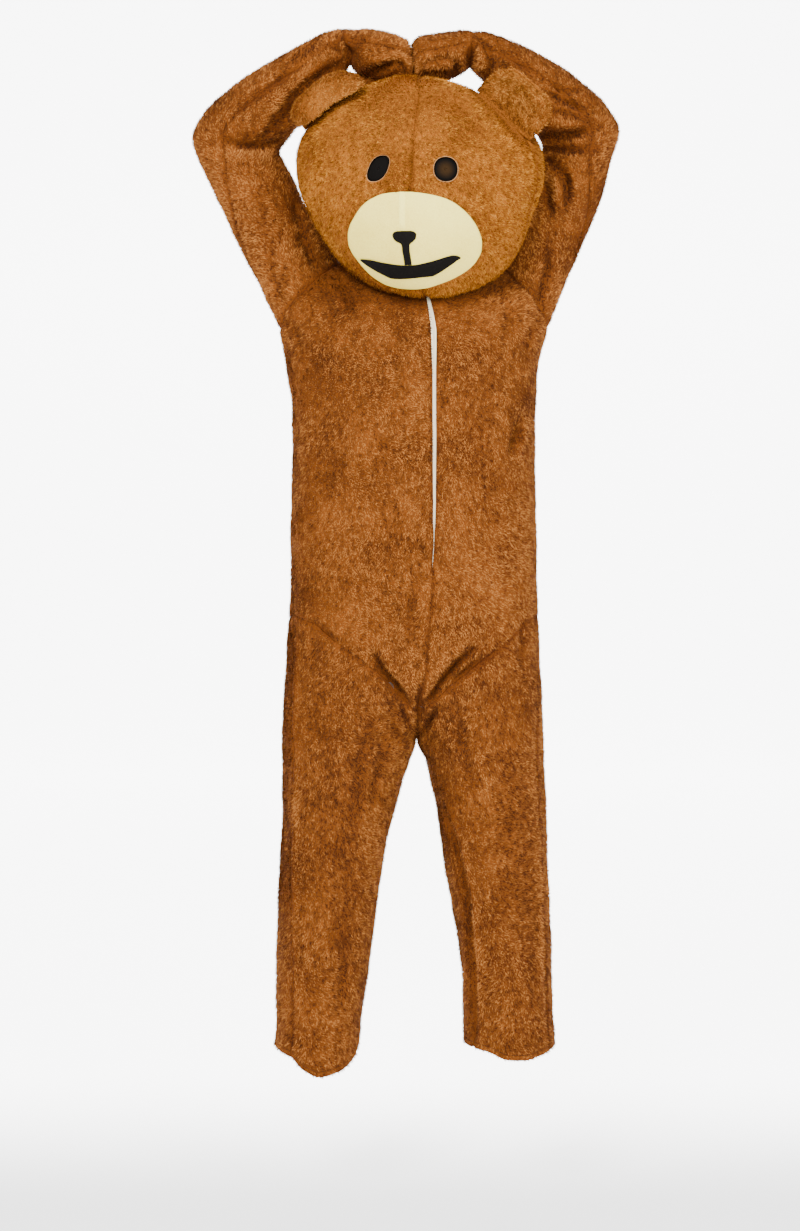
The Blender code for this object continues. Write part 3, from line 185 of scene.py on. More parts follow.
LEFT_ARM = [
    (0, 0.2110, 1.4420, 0.1260, 1.5600, 0.022, 0.0560),
    (1, 0.2471, 1.5238, 0.1442, 1.5940, 0.034, 0.0560),
    (2, 0.2764, 1.5941, 0.1702, 1.6450, 0.042, 0.0550),
    (3, 0.3008, 1.6594, 0.1900, 1.6855, 0.044, 0.0540),
    (4, 0.3169, 1.7148, 0.1990, 1.7213, 0.042, 0.0530),
    (5, 0.3314, 1.7701, 0.2050, 1.7408, 0.038, 0.0520),
    (6, 0.3082, 1.8123, 0.1950, 1.7650, 0.032, 0.0510),
    (7, 0.2604, 1.8544, 0.1720, 1.7900, 0.026, 0.0500),
    (8, 0.2078, 1.8868, 0.1458, 1.8139, 0.019, 0.0470),
    (9, 0.1545, 1.9096, 0.1270, 1.8290, 0.011, 0.0440),
    (10, 0.1130, 1.9240, 0.1160, 1.8370, 0.003, 0.0410),
    (11, 0.0904, 1.9270, 0.0845, 1.8640, 0.000, 0.0320),
]
RIGHT_MITTEN = [
    (0, -0.1240, 1.9300, -0.1110, 1.8690, 0.000, 0.0310),
    (1, -0.1044, 1.9273, -0.1028, 1.8607, -0.001, 0.0330),
    (2, -0.0849, 1.9281, -0.0882, 1.8558, -0.003, 0.0345),
    (3, -0.0622, 1.9248, -0.0671, 1.8535, -0.004, 0.0350),
    (4, -0.0459, 1.9200, -0.0492, 1.8525, -0.005, 0.0345),
    (5, -0.0313, 1.9160, -0.0370, 1.8480, -0.006, 0.0330),
    (6, -0.0190, 1.9104, -0.0270, 1.8420, -0.006, 0.0280),
]
LEFT_MITTEN = [
    (0, 0.0904, 1.9270, 0.0845, 1.8640, 0.000, 0.0320),
    (1, 0.0710, 1.9273, 0.0727, 1.8575, -0.001, 0.0335),
    (2, 0.0547, 1.9248, 0.0597, 1.8500, -0.003, 0.0345),
    (3, 0.0352, 1.9216, 0.0418, 1.8456, -0.004, 0.0350),
    (4, 0.0190, 1.9184, 0.0239, 1.8424, -0.005, 0.0345),
    (5, 0.0060, 1.9160, 0.0105, 1.8404, -0.006, 0.0330),
    (6, -0.0020, 1.9100, 0.0010, 1.8420, -0.006, 0.0280),
]
RIGHT_THUMB = [
    (0, -0.1010, 1.8622, -0.1060, 1.8445, 0.0115, 0.0105),
    (1, -0.0849, 1.8577, -0.0900, 1.8380, 0.0125, 0.0110),
    (2, -0.0660, 1.8567, -0.0690, 1.8360, 0.0125, 0.0110),
    (3, -0.0530, 1.8557, -0.0540, 1.8380, 0.0125, 0.0095),
]
LEFT_THUMB = [
    (0, 0.0560, 1.8760, 0.0560, 1.8600, -0.0430, 0.0075),
    (1, 0.0440, 1.8760, 0.0430, 1.8570, -0.0450, 0.0095),
    (2, 0.0290, 1.8740, 0.0270, 1.8550, -0.0460, 0.0100),
    (3, 0.0170, 1.8700, 0.0160, 1.8540, -0.0440, 0.0085),
]
RING_POINTS = 72
THUMB_RING_POINTS = 20
SEAM_TWIST = math.radians(75)
# Shares of the sleeve over which its seam twists, and over which the armhole's form fades out.
TWIST_SHARE = 0.45
ARMHOLE_SHARE = 0.16
TIP_DOME = 0.008

HEAD_MIDDLE_Y = -0.050
HEAD_FRONT_DEPTH = 0.140
HEAD_BACK_DEPTH = 0.150
HEAD_COLUMNS = ("height", "right", "left")
HEAD = [
    (1.8446, -0.0008, -0.0008), (1.8430, -0.0230, 0.0201), (1.8398, -0.0458, 0.0346),
    (1.8335, -0.0763, 0.0580), (1.8223, -0.1081, 0.0900), (1.8080, -0.1343, 0.1183),
    (1.7889, -0.1585, 0.1441), (1.7682, -0.1770, 0.1699), (1.7443, -0.1891, 0.1885),
    (1.7204, -0.1957, 0.1991), (1.6964, -0.1965, 0.2008), (1.6725, -0.1942, 0.1993),
    (1.6485, -0.1862, 0.1929), (1.6245, -0.1765, 0.1833), (1.6005, -0.1637, 0.1757),
    (1.5764, -0.1484, 0.1657), (1.5524, -0.1315, 0.1506), (1.5363, -0.1153, 0.1367),
    (1.5203, -0.0960, 0.1190), (1.5074, -0.0766, 0.1013), (1.4962, -0.0491, 0.0784),
    (1.4881, -0.0168, 0.0540), (1.4849, 0.0200, 0.0200),
]
HEAD_TOP = HEAD[0][0]
HEAD_BOTTOM = HEAD[-1][0]
HEAD_MIDDLE_HEIGHT = (HEAD_TOP + HEAD_BOTTOM) / 2
HEAD_REACH = (HEAD_TOP - HEAD_BOTTOM) / 2
HEAD_ROUNDNESS = 0.9
FIRST_RIM_TURN = 150
NORMAL_STEP = 0.002
HEAD_SEAM_COLUMNS = ("turn", "front", "right", "left")
HEAD_SEAMS = [
    (0, 10, -88, 84), (29, 6, -86, 80), (46, 2, -85, 62), (65, -2.5, -85, 64), (88, -4.4, -84, 72),
    (111, -9.3, -82, 76), (130, -10.7, -82, 80), (150, -8.0, -82, 82), (180, -6.0, -82, 82),
]
# Where the head's cloth ends at the neck, by bearing from straight ahead.
HEAD_RIM_COLUMNS = ("bearing", "turn")
HEAD_RIM = [(0, 169), (40, 166), (80, 148), (110, 127), (135, 119), (180, 116)]
HEAD_ROWS = 84
HEAD_SIDE_COLUMNS = 45
HEAD_BACK_COLUMNS = 51
MUZZLE_CENTRE = (-0.008, 1.572)
MUZZLE_REACH = (0.150, 0.115)
MUZZLE_RISE = 0.013

EAR_GAP = 0.0006
STRIP_COLUMNS = ("height", "right", "left")
MUZZLE = [
    (1.6470, -0.0375, -0.0111), (1.6444, -0.0576, 0.0091), (1.6397, -0.0701, 0.0324),
    (1.6336, -0.0817, 0.0495), (1.6228, -0.0934, 0.0666), (1.6105, -0.1019, 0.0798),
    (1.5982, -0.1089, 0.0892), (1.5843, -0.1121, 0.0962), (1.5719, -0.1113, 0.0993),
    (1.5596, -0.1067, 0.0986), (1.5472, -0.0981, 0.0931), (1.5349, -0.0880, 0.0831),
    (1.5241, -0.0771, 0.0683), (1.5148, -0.0639, 0.0496), (1.5086, -0.0515, 0.0325),
    (1.5040, -0.0344, 0.0170), (1.5017, -0.0181, 0.0023),
]
NOSE = [
    (1.5881, -0.0328, -0.0126), (1.5865, -0.0382, -0.0072), (1.5827, -0.0406, -0.0041),
    (1.5773, -0.0390, -0.0049), (1.5727, -0.0344, -0.0088), (1.5696, -0.0281, -0.0130),
    (1.5665, -0.0263, -0.0145), (1.5588, -0.0254, -0.0142), (1.5496, -0.0235, -0.0126),
    (1.5419, -0.0223, -0.0114), (1.5385, -0.0219, -0.0108),
]
# The mouth's strip runs sideways, so its first column is x and the others are heights.
MOUTH = [
    (-0.0903, 1.5476, 1.5490), (-0.0825, 1.5415, 1.5481), (-0.0732, 1.5353, 1.5466),
    (-0.0623, 1.5291, 1.5438), (-0.0515, 1.5237, 1.5415), (-0.0421, 1.5197, 1.5398),
    (-0.0297, 1.5186, 1.5381), (-0.0173, 1.5188, 1.5375), (-0.0048, 1.5196, 1.5381),
    (0.0076, 1.5208, 1.5404), (0.0200, 1.5220, 1.5433), (0.0324, 1.5276, 1.5469),
    (0.0433, 1.5345, 1.5503), (0.0526, 1.5407, 1.5523), (0.0588, 1.5453, 1.5521),
    (0.0643, 1.5484, 1.5500),
]

# Eye openings: a slanted oval on the wearer's right, a round one on the left. A row is x, height, half the
# width, half the height, lean and squareness.
EYES = {
    RIGHT: (-0.0637, 1.6845, 0.0165, 0.0212, 0.34, 2.4),
    LEFT: (0.0416, 1.6828, 0.0196, 0.0202, 0.00, 2.2),
}
EYE_POINTS = 40

# The left ear stands up; the right one is folded down over its own foot.
EAR_LAYER = 0.0035
EAR_DEPTH = 2 * EAR_LAYER + SEAM_GAP
# The folded ear's section: whether between foot and fold or edge and fold, how far towards the fold, and
# how far forward.
FOLD_PATH = [
    ("foot", 0.0, 0.0), ("foot", 0.45, 0.0), ("foot", 0.85, 0.06), ("foot", 1.0, 0.3),
    ("edge", 0.93, 0.62), ("edge", 0.6, 0.9), ("edge", 0.3, 0.97), ("edge", 0.0, 1.0),
]
LEFT_EAR_COLUMNS = ("share", "foot_x", "foot_height", "edge_x", "edge_height")
LEFT_EAR = [
    (0.00, 0.0917, 1.8190, 0.0985, 1.8270), (0.08, 0.0965, 1.8135, 0.1092, 1.8363),
    (0.20, 0.1055, 1.8042, 0.1267, 1.8482), (0.35, 0.1167, 1.7923, 0.1491, 1.8490),
    (0.50, 0.1279, 1.7797, 0.1715, 1.8348), (0.65, 0.1391, 1.7654, 0.1923, 1.8142),
    (0.80, 0.1504, 1.7520, 0.2083, 1.7929), (0.92, 0.1616, 1.7433, 0.2084, 1.7708),
    (1.00, 0.1712, 1.7378, 0.1859, 1.7439),
]
RIGHT_EAR_COLUMNS = ("share", "foot_x", "foot_height", "fold_x", "fold_height", "edge_x", "edge_height")
RIGHT_EAR = [
    (0.00, -0.1046, 1.8235, -0.0998, 1.8349, -0.0863, 1.8200),
    (0.25, -0.1221, 1.8141, -0.1229, 1.8412, -0.1030, 1.8089),
    (0.50, -0.1454, 1.7983, -0.1492, 1.8318, -0.1253, 1.7987),
    (0.75, -0.1672, 1.7810, -0.1763, 1.8114, -0.1492, 1.7837),
    (0.90, -0.1784, 1.7684, -0.1922, 1.7979, -0.1668, 1.7695),
    (1.00, -0.1858, 1.7595, -0.2006, 1.7837, -0.1891, 1.7656),
]

# Folds and smaller creases. A row is width and depth in tenths of a millimetre, where a negative depth is
# a trough, and then the points of a line in the front view, each as x and height in millimetres.
TENTHS = 10000
MILLIMETRES = 1000
FOLDS = {
    FRONT: [
        (140, -120, -325, 1742, -232, 1733), (140, 60, -300, 1765, -232, 1757),
        (140, 60, -305, 1705, -240, 1712), (140, -120, 295, 1768, 206, 1733),
        (140, 60, 270, 1790, 206, 1765), (160, -80, 250, 1685, 200, 1655), (130, -90, -68, 912, -15, 835),
        (130, -90, 70, 909, 32, 861), (130, -50, 172, 1300, 150, 1240), (160, -60, 100, 470, 120, 280),
        (200, 40, -150, 620, -165, 400),
    ],
    BACK: [
        (160, -60, -310, 1742, -232, 1733), (160, -60, 290, 1764, 206, 1733),
        (150, -80, -80, 920, -20, 850), (150, -80, 80, 920, 20, 850), (180, -50, -120, 1030, 90, 1050),
        (180, -60, -190, 520, -110, 500), (180, -60, 180, 520, 100, 500),
    ],
}

CREASES = {
    FRONT: [
        (52, -70, -319, 1748, -285, 1738, -252, 1738, -216, 1760),
        (80, 40, -323, 1732, -285, 1724, -250, 1726, -218, 1746), (60, -70, -283, 1743, -262, 1772),
        (52, -68, -277, 1733, -239, 1772, -204, 1817, -182, 1837),
        (70, -68, -254, 1748, -211, 1793, -163, 1844, -127, 1866),
        (90, 54, -270, 1753, -216, 1812, -151, 1876), (52, -121, -117, 1911, -115, 1892, -111, 1866),
        (52, -68, -104, 1918, -106, 1892, -101, 1866), (52, -81, -133, 1905, -135, 1892, -127, 1882),
        (52, 54, -125, 1908, -124, 1876), (52, -203, -85, 1852, -62, 1862, -44, 1868),
        (52, -68, -36, 1875, -26, 1862, -23, 1847), (60, 54, -65, 1871, -43, 1881, -23, 1875),
        (90, -189, 46, 1871, 64, 1852), (52, -68, 9, 1846, 19, 1867, 30, 1875),
        (52, -121, 90, 1900, 85, 1879, 82, 1860), (52, -108, 96, 1919, 113, 1895, 119, 1866, 114, 1847),
        (52, 68, 101, 1900, 103, 1873, 97, 1850), (80, -68, 132, 1898, 165, 1873, 194, 1841),
        (60, -54, 129, 1876, 152, 1854), (60, -108, 208, 1821, 231, 1815, 263, 1802),
        (70, -81, 218, 1795, 255, 1786, 290, 1771), (70, -121, 200, 1760, 231, 1753, 280, 1763),
        (70, -95, 207, 1739, 247, 1731, 290, 1734), (80, 54, 207, 1773, 247, 1770, 296, 1782),
        (60, -108, 215, 1718, 235, 1692, 245, 1666, 240, 1634), (52, -108, 207, 1676, 212, 1653, 222, 1627),
        (60, 68, 225, 1686, 230, 1653, 230, 1618), (70, -54, 219, 1597, 214, 1553, 201, 1491),
        (80, -41, -255, 1686, -245, 1605, -226, 1491), (70, -81, -200, 1645, -185, 1588, -164, 1543),
        (80, -54, -216, 1457, -196, 1438, -190, 1406), (80, -54, 196, 1457, 179, 1435, 172, 1403),
        (90, -68, -142, 1534, -118, 1502, -107, 1467), (80, -54, -158, 1515, -139, 1486, -134, 1446),
        (90, -54, 131, 1502, 144, 1470, 142, 1430), (52, -81, 166, 1294, 160, 1268, 151, 1243),
        (52, 41, 178, 1287, 171, 1262, 163, 1237), (52, -81, 1, 1103, 10, 1074),
        (52, -54, 43, 1338, 39, 1310), (60, -54, -170, 968, -148, 952, -126, 941),
        (60, -41, -169, 962, -171, 927, -167, 891), (60, -54, 169, 961, 166, 926, 168, 891),
        (52, -54, 126, 926, 99, 907, 70, 887), (60, -189, -70, 919, -54, 891, -35, 862, -17, 837),
        (52, -95, -39, 880, -28, 862, -22, 846), (60, 54, -57, 911, -36, 882),
        (60, -200, 88, 930, 64, 908, 40, 880, 16, 846), (52, -120, 100, 916, 74, 894, 50, 868),
        (50, 60, 80, 914, 54, 888, 30, 858), (52, -108, 47, 864, 22, 851, 9, 840),
        (52, -108, -1, 865, -1, 839, 1, 813), (52, -81, -33, 847, -23, 817, -15, 791),
        (70, -54, -46, 811, -33, 782, -26, 759), (60, -108, 28, 830, 16, 808, 6, 788),
        (60, -130, 36, 665, 59, 608, 78, 520, 89, 371, 92, 283),
        (60, 41, 47, 665, 70, 608, 90, 520, 100, 371, 103, 283),
        (60, 41, -199, 937, -203, 741, -205, 543, -204, 338), (220, -40, -162, 843, -149, 681, -156, 517),
        (180, -40, -107, 746, -117, 550, -124, 353), (200, -40, 132, 843, 145, 648, 152, 468),
        (120, -30, 171, 713, 178, 517, 188, 337), (52, 41, 201, 624, 201, 510, 202, 354),
        (260, -30, -157, 1389, -141, 1262, -154, 1135), (240, -30, 116, 1420, 104, 1278, 114, 1135),
        (240, -30, -62, 1278, -42, 1167, -55, 1039), (60, -80, -216, 1868, -180, 1898, -147, 1929),
        (70, -70, -292, 1800, -240, 1830, -196, 1868, -156, 1902),
        (55, -80, -240, 1782, -214, 1810, -180, 1840, -146, 1858),
        (60, -60, -226, 1770, -205, 1790, -188, 1808), (55, -90, 216, 1836, 240, 1826, 262, 1830),
        (55, -80, 226, 1806, 250, 1806, 276, 1792), (55, -90, 236, 1704, 246, 1680, 250, 1650),
        (55, -80, 232, 1660, 228, 1638, 236, 1612), (70, -60, 212, 1560, 206, 1520, 196, 1470),
        (90, -70, -52, 790, -62, 740, -75, 680), (60, -70, -46, 868, -44, 840, -34, 812),
        (120, -70, -80, 820, -96, 740, -104, 650), (100, -60, 60, 840, 70, 780, 84, 700),
        (80, -50, -130, 470, -122, 400, -128, 320), (60, -60, -8, 1060, -10, 990, -4, 930),
    ],
    BACK: [
        (100, -60, -186, 842, -120, 822, -56, 836), (100, -60, 186, 848, 118, 826, 52, 838),
        (80, -50, -26, 905, -20, 866, -12, 820), (80, -60, 30, 898, 20, 858, 10, 812),
        (120, -50, -204, 560, -158, 545, -118, 566), (120, -50, 92, 552, 140, 540, 190, 560),
        (100, -40, -196, 505, -152, 516, -112, 498), (140, -50, -150, 1112, -70, 1090, 20, 1098),
        (140, -50, 154, 1124, 80, 1104, 36, 1112), (160, -40, -120, 1046, -20, 1030, 110, 1044),
        (120, -60, -170, 1372, -120, 1318, -88, 1250), (120, -60, 160, 1366, 112, 1310, 78, 1246),
        (100, -50, -156, 1412, -96, 1398, -40, 1412), (100, -50, 148, 1416, 92, 1400, 34, 1414),
        (180, -40, -60, 1330, -40, 1200, -52, 1120), (180, -40, 54, 1340, 40, 1220, 50, 1140),
        (80, -70, -322, 1728, -274, 1706, -230, 1716), (80, -60, -312, 1772, -262, 1742, -220, 1740),
        (80, -70, 300, 1744, 252, 1722, 212, 1730), (80, -60, 292, 1786, 244, 1758, 206, 1752),
        (160, -40, -150, 420, -160, 340, -152, 262), (160, -40, 150, 420, 158, 340, 150, 262),
    ],
}

# The pile: every tuft is a small leaf. Lengths in metres, angles in degrees.
PILE_COLUMNS = ("length", "width", "rise", "stray", "cell", "clump", "grain")
PILES = {
    "suit": (0.0054, 0.0019, 30, 24, 4.0e-6, 0.0035, 0.13),
    "head": (0.0047, 0.0016, 34, 28, 2.9e-6, 0.0030, 0.07),
    "ear": (0.0050, 0.0016, 40, 30, 2.6e-6, 0.0032, 0.07),
}
RISE_STRAY = 9
RISE_LIMITS = (8, 75)
ROLL_STRAY = 26
ROOT_DEPTH = 0.0008
TUFT_SPREAD = 0.50
CLUMP_STRETCH = np.array([1.0, 1.0, 0.5])
CLOUD_CELLS = 32

# Depths of the cloth under the pile, by the seams and along the hem's stitches, with their widths.
PILE_ROOM = 0.0012
EAR_ROOM = 0.0026
THUMB_ROOM = 0.0016
SHELL = 0.0015
SEAM_TROUGH = 0.0014
SEAM_TROUGH_WIDTH = 0.0042
HEAD_TROUGH = 0.0028
HEM_TROUGH = 0.0012
HEM_TROUGH_WIDTH = 0.0035
MUZZLE_DIP = -0.0022
CROWN_DEPTH = 0.0030
PALM_DEPTH = 0.0065

# Places behind the head where the sleeve at the wearer's right is fuller.
FILL_PLACES = ((-0.137, 1.555), (-0.148, 1.574), (-0.160, 1.592), (-0.171, 1.616))
FILL_DEPTH = 0.014
FILL_WIDTH = 0.020

HEM_STITCH = 0.0090
STITCH_PITCH = 0.0042
STITCH_LENGTH = 0.003
STITCH_RADIUS = 0.0005

# The zip: half the width that shows by height, and its tape's section as side, place beyond the half
# width and depth.
ZIP_COLUMNS = ("height", "half_width")
ZIP_SHOWN = [
    (1.112, 0.0006), (1.140, 0.0022), (1.190, 0.0029), (1.270, 0.0033), (1.350, 0.0032), (1.410, 0.0046),
    (1.470, 0.0058),
]
ZIP_SECTION = [
    (-1, -0.0036, 0.0028), (-1, -0.0008, 0.0026), (-1, 0.0012, 0.0001), (0, 0.0, 0.0),
    (1, -0.0012, 0.0001), (1, 0.0008, 0.0026), (1, 0.0036, 0.0028),
]
TAPE_THICKNESS = 0.0008
TOOTH_PITCH = 0.0016

# Painted shade: how much darker the pile is made in creases, on the arms' creases, by seams, on the legs,
# under the chin and at the ears' feet, where shade falls.
SHADE = 55.0
SHADE_LIMITS = (-0.012, 0.003)
ARM_SHADE = 1.35
SEAM_SHADE = 0.55
SEAM_SHADE_WIDTH = 0.0035
LEG_SHADE = 0.08
CHIN_SHADE = 0.48
EAR_FOOT_SHADE = 0.95
EAR_FOOT_WIDTH = 0.011

MUZZLE_BAND_X = -0.0266
EYE_DARK = (0.003, 0.0024, 0.002)
PILE_TONES = {
    "suit_pile": ((0.060, 0.018, 0.006), (0.246, 0.081, 0.017), (0.395, 0.150, 0.036)),
    "head_pile": ((0.095, 0.028, 0.004), (0.325, 0.110, 0.011), (0.520, 0.215, 0.032)),
    "ear_pile": ((0.085, 0.026, 0.005), (0.285, 0.098, 0.016), (0.480, 0.200, 0.042)),
}
CLOTHS = {
    "suit_ground": ((0.060, 0.014, 0.002), (0.200, 0.056, 0.008), 420.0, 0.0010),
    "head_ground": ((0.110, 0.030, 0.004), (0.330, 0.105, 0.014), 420.0, 0.0010),
    "black_felt": ((0.002, 0.0016, 0.0014), (0.006, 0.005, 0.004), 900.0, 0.0003),
    "tape": ((0.930, 0.790, 0.520), (0.990, 0.880, 0.640), 1400.0, 0.0001, 0.7),
    "teeth": ((0.930, 0.820, 0.600), (0.990, 0.900, 0.700), 300.0, 0.0001, 0.35),
    "thread": ((0.030, 0.012, 0.005), (0.080, 0.034, 0.012), 900.0, 0.0001),
    "cut_edge": ((0.270, 0.125, 0.048), (0.440, 0.245, 0.110), 900.0, 0.0001),
}
LIGHTS = [("key_light", (-1.3, -3.3, 2.2), 1.6, 258.0), ("fill_light", (2.0, -3.3, 1.5), 1.8, 170.0)]

# A distance beyond all others, how quickly a push fades as the cloth turns away, and the least share of
# its rectangle that a flat piece fills.
FAR = 9.0
FACING_GAIN = 1.6
LEAST_AREA = 0.31


def read(table, columns, name, place):
    """Smooth value of a named column at a place along the table's first column."""
    rows = np.array(sorted(table), dtype=float)
    places = rows[:, 0]
    values = rows[:, columns.index(name)]
    steps = np.diff(places)
    slopes = np.diff(values) / steps
    bends = np.zeros(len(values))
    bends[0] = slopes[0]
    bends[-1] = slopes[-1]
    for i in range(1, len(values) - 1):
        if slopes[i - 1] * slopes[i] > 0:
            bends[i] = 2 * slopes[i - 1] * slopes[i] / (slopes[i - 1] + slopes[i])
    place = np.clip(np.asarray(place, dtype=float), places[0], places[-1])
    i = np.clip(np.searchsorted(places, place, side="right") - 1, 0, len(steps) - 1)
    t = (place - places[i]) / steps[i]
    return (
        values[i] * (1 + 2 * t) * (1 - t) ** 2
        + bends[i] * steps[i] * t * (1 - t) ** 2
        + values[i + 1] * t * t * (3 - 2 * t)
        + bends[i + 1] * steps[i] * t * t * (t - 1)
    )


def ease(t):
    """Smooth step from 0 to 1."""
    t = np.clip(t, 0, 1)
    return t * t * (3 - 2 * t)


def mix(a, b, share):
    return a + (b - a) * share


def read_all(table, columns, place):
    """Smooth values of every named column at a place along the table's first column."""
    return {name: read(table, columns, name, place) for name in columns[1:]}


def bell(away, width):
    """1 on a line, falling softly to almost 0 at twice the width from it."""
    return np.exp(-((away / width) ** 2))


def cell_crosses(grid):
    """A vector along the normal of every grid cell, twice as long as the cell's area."""
    return np.cross(grid[1:, 1:] - grid[:-1, :-1], grid[1:, :-1] - grid[:-1, 1:])


def step_lengths(grid, axis):
    """Lengths of the steps between neighbouring points along one axis of a grid."""
    return np.linalg.norm(np.diff(grid, axis=axis), axis=-1)


def run_lengths(grid):
    """Distance over the cloth from the first row to every point of a grid or line."""
    lengths = np.cumsum(step_lengths(grid, 0), axis=0)
    return np.concatenate([np.zeros((1,) + lengths.shape[1:]), lengths])


def points_at(places, steps, field):
    """Vectors at the given places of a field that is known at steps along a line."""
    return np.stack([np.interp(places, steps, field[:, k]) for k in range(3)], axis=-1)


def own_normals(grid, sign):
    return shared_normals([grid], [sign])[0]


def trunk_cloth(side, face, around, height):
    """Points of the trunk. around is 0 at the middle front, 1 at the side and 2 at the middle back."""
    row = read_all(TRUNK, TRUNK_COLUMNS, height)
    word = SIDE_NAMES[side]
    edge = np.where(height > ARMPIT_HEIGHT, read(ARMHOLE, ARMHOLE_COLUMNS, word, height), row[word])
    centre = (row["right"] + row["left"]) / 2
    half = (row["left"] - row["right"]) / 2
    front = (around < 1) | ((around == 1) & (face == FRONT))
    share = np.where(front, around, 2 - around)
    seam = np.where(front, read(FRONT_SEAM, FRONT_SEAM_COLUMNS, "x", height), centre)
    wide = mix(np.sin(math.pi / 2 * share), share, ease((height - EVEN_HEIGHT) / EVEN_RISE))
    x = seam + (edge - seam) * wide
    reach = np.where(front, row["front"], row["back"]) - row["middle"]
    out = np.clip(np.abs(x - centre) / half, 0, 1)
    y = row["middle"] + reach * (1 - out ** TRUNK_SQUARENESS) ** (1 / TRUNK_SQUARENESS)
    return np.stack([x, y, height], axis=-1)


def leg_cloth(side, around, height):
    """Points of a leg. around is 0 at the inside of the leg, 1 outside and 2 inside again at the back."""
    row = read_all(LEGS, LEG_COLUMNS, height)
    outer, inner = row[SIDE_NAMES[side] + "_outer"], row[SIDE_NAMES[side] + "_inner"]
    turn = math.pi * around
    x = (outer + inner) / 2 - (outer - inner) / 2 * np.cos(turn)
    y = np.where(np.sin(turn) > 0, row["front"], -row["back"]) * np.sin(turn)
    return np.stack([x, y, height], axis=-1)


def body_cloth(side, face, around, height):
    """Points of trunk and legs together: the rings part smoothly between the fork's top and the crotch."""
    trunk = trunk_cloth(side, face, np.clip(around, 0, 2), np.maximum(height, CROTCH_HEIGHT))
    leg = leg_cloth(side, around, np.minimum(height, FORK_TOP))
    share = 1 - np.sqrt(1 - ease((FORK_TOP - height) / (FORK_TOP - CROTCH_HEIGHT)) ** 1.5)
    points = mix(trunk, leg, share[..., None])
    points[..., 2] = height
    return points


def seam_place(side, seam, height):
    return read(SEAMS, SEAM_COLUMNS, SIDE_NAMES[side] + "_" + seam, height)


def panel_around(side, face, share, height):
    """Where round the ring a point of a panel lies; share is 0 at the middle, 1 at the side."""
    side_seam = seam_place(side, "side", height)
    inseam = seam_place(side, "inseam", height)
    start = inseam if face == FRONT else inseam + 2
    return mix(start, side_seam, share)


def trunk_panel(side, face, shares, rows):
    """Grid of one trunk panel, from the hip seam up to the neck, shoulder and armhole."""
    share, row = np.meshgrid(shares, rows)
    bottom = read(HIP_SEAM, HIP_SEAM_COLUMNS, FACE_NAMES[face], share)
    low = NECK_LOW[face]
    neck_share = NECK_COLUMN / ACROSS
    neck = low + (SHOULDER_HEIGHT - low) * (share / neck_share) ** 2
    height = mix(bottom, np.where(share < neck_share, neck, SHOULDER_HEIGHT), row)
    return body_cloth(side, face, panel_around(side, face, share, height), height)


def leg_panel(side, face, shares, rows):
    """Grid of one leg panel, from the hem up to the hip seam."""
    share, row = np.meshgrid(shares, rows)
    top = read(HIP_SEAM, HIP_SEAM_COLUMNS, FACE_NAMES[face], share)
    hem_around = panel_around(side, face, share, np.full(share.shape, HEM_HEIGHT))
    hem = read(HEM, HEM_COLUMNS, SIDE_NAMES[side], np.mod(hem_around, 2.0))
    height = mix(np.where(share == 0, HEM_INNER_HEIGHT, hem), top, row)
    return body_cloth(side, face, panel_around(side, face, share, height), height)


def arm_ring(table, station, turn):
    """Points round an arm; turn 0 is the outer edge of the front view, a quarter turn is its front."""
    row = read_all(table, ARM_COLUMNS, station)
    swing = (1 - np.cos(turn)) / 2
    x = mix(row["outer_x"], row["inner_x"], swing)
    height = mix(row["outer_height"], row["inner_height"], swing)
    return np.stack([x, row["middle"] - row["depth"] * np.sin(turn), height], axis=-1)


def sleeve_cloth(side, armhole, shares, rows):
    """Grid of a sleeve. Its first ring is the armhole, and its seam twists towards the front."""
    table = RIGHT_ARM if side == RIGHT else LEFT_ARM
    share, row = np.meshgrid(shares, rows)
    plain = 2 * math.pi * share
    ring = arm_ring(table, row * table[-1][0], plain + SEAM_TWIST * ease(row / TWIST_SHARE))
    first = arm_ring(table, np.zeros(share.shape), plain)
    fade = (1 - ease(row / ARMHOLE_SHARE))[..., None]
    return ring + (armhole[None, :, :] - first) * fade


def hand_cloth(table, shares, rows):
    """Grid of a mitten or thumb: rings along its stations, then a domed end that closes to one point."""
    last = table[-1][0]
    share, row = np.meshgrid(shares, rows)
    ring = arm_ring(table, np.minimum(row, 1.0) * last, 2 * math.pi * share)
    stations, turns = np.array([last, last, last - 1.0]), np.array([0.0, math.pi, 0.0])
    outer_tip, inner_tip, before = arm_ring(table, stations, turns)
    centre = (outer_tip + inner_tip) / 2
    along = np.array([outer_tip[2] - inner_tip[2], 0.0, inner_tip[0] - outer_tip[0]])
    along = along / np.linalg.norm(along)
    if np.dot(along, outer_tip - before) < 0:
        along = -along
    close = (np.clip(row - 1.0, 0, 1) * math.pi / 2)[..., None]
    shrunk = centre + (ring - centre) * np.cos(close) + along * TIP_DOME * np.sin(close)
    return np.where(row[..., None] > 1, shrunk, ring)


def head_ring(turn, bearing):
    """Points of the head. turn is in degrees from the crown down, bearing in degrees from straight ahead."""
    height = HEAD_MIDDLE_HEIGHT + HEAD_REACH * np.cos(np.radians(turn))
    row = read_all(HEAD, HEAD_COLUMNS, height)
    depth = np.sin(np.radians(turn)) ** HEAD_ROUNDNESS
    ahead = np.cos(np.radians(bearing))
    half = (row["left"] - row["right"]) / 2
    x = (row["right"] + row["left"]) / 2 + half * np.sin(np.radians(bearing))
    y = HEAD_MIDDLE_Y - np.where(ahead > 0, HEAD_FRONT_DEPTH, HEAD_BACK_DEPTH) * depth * ahead
    y = y - muzzle_rise(x, height) * np.clip(ahead * 2, 0, 1) * np.clip(depth * 4, 0, 1)
    return np.stack([x, y, height], axis=-1)


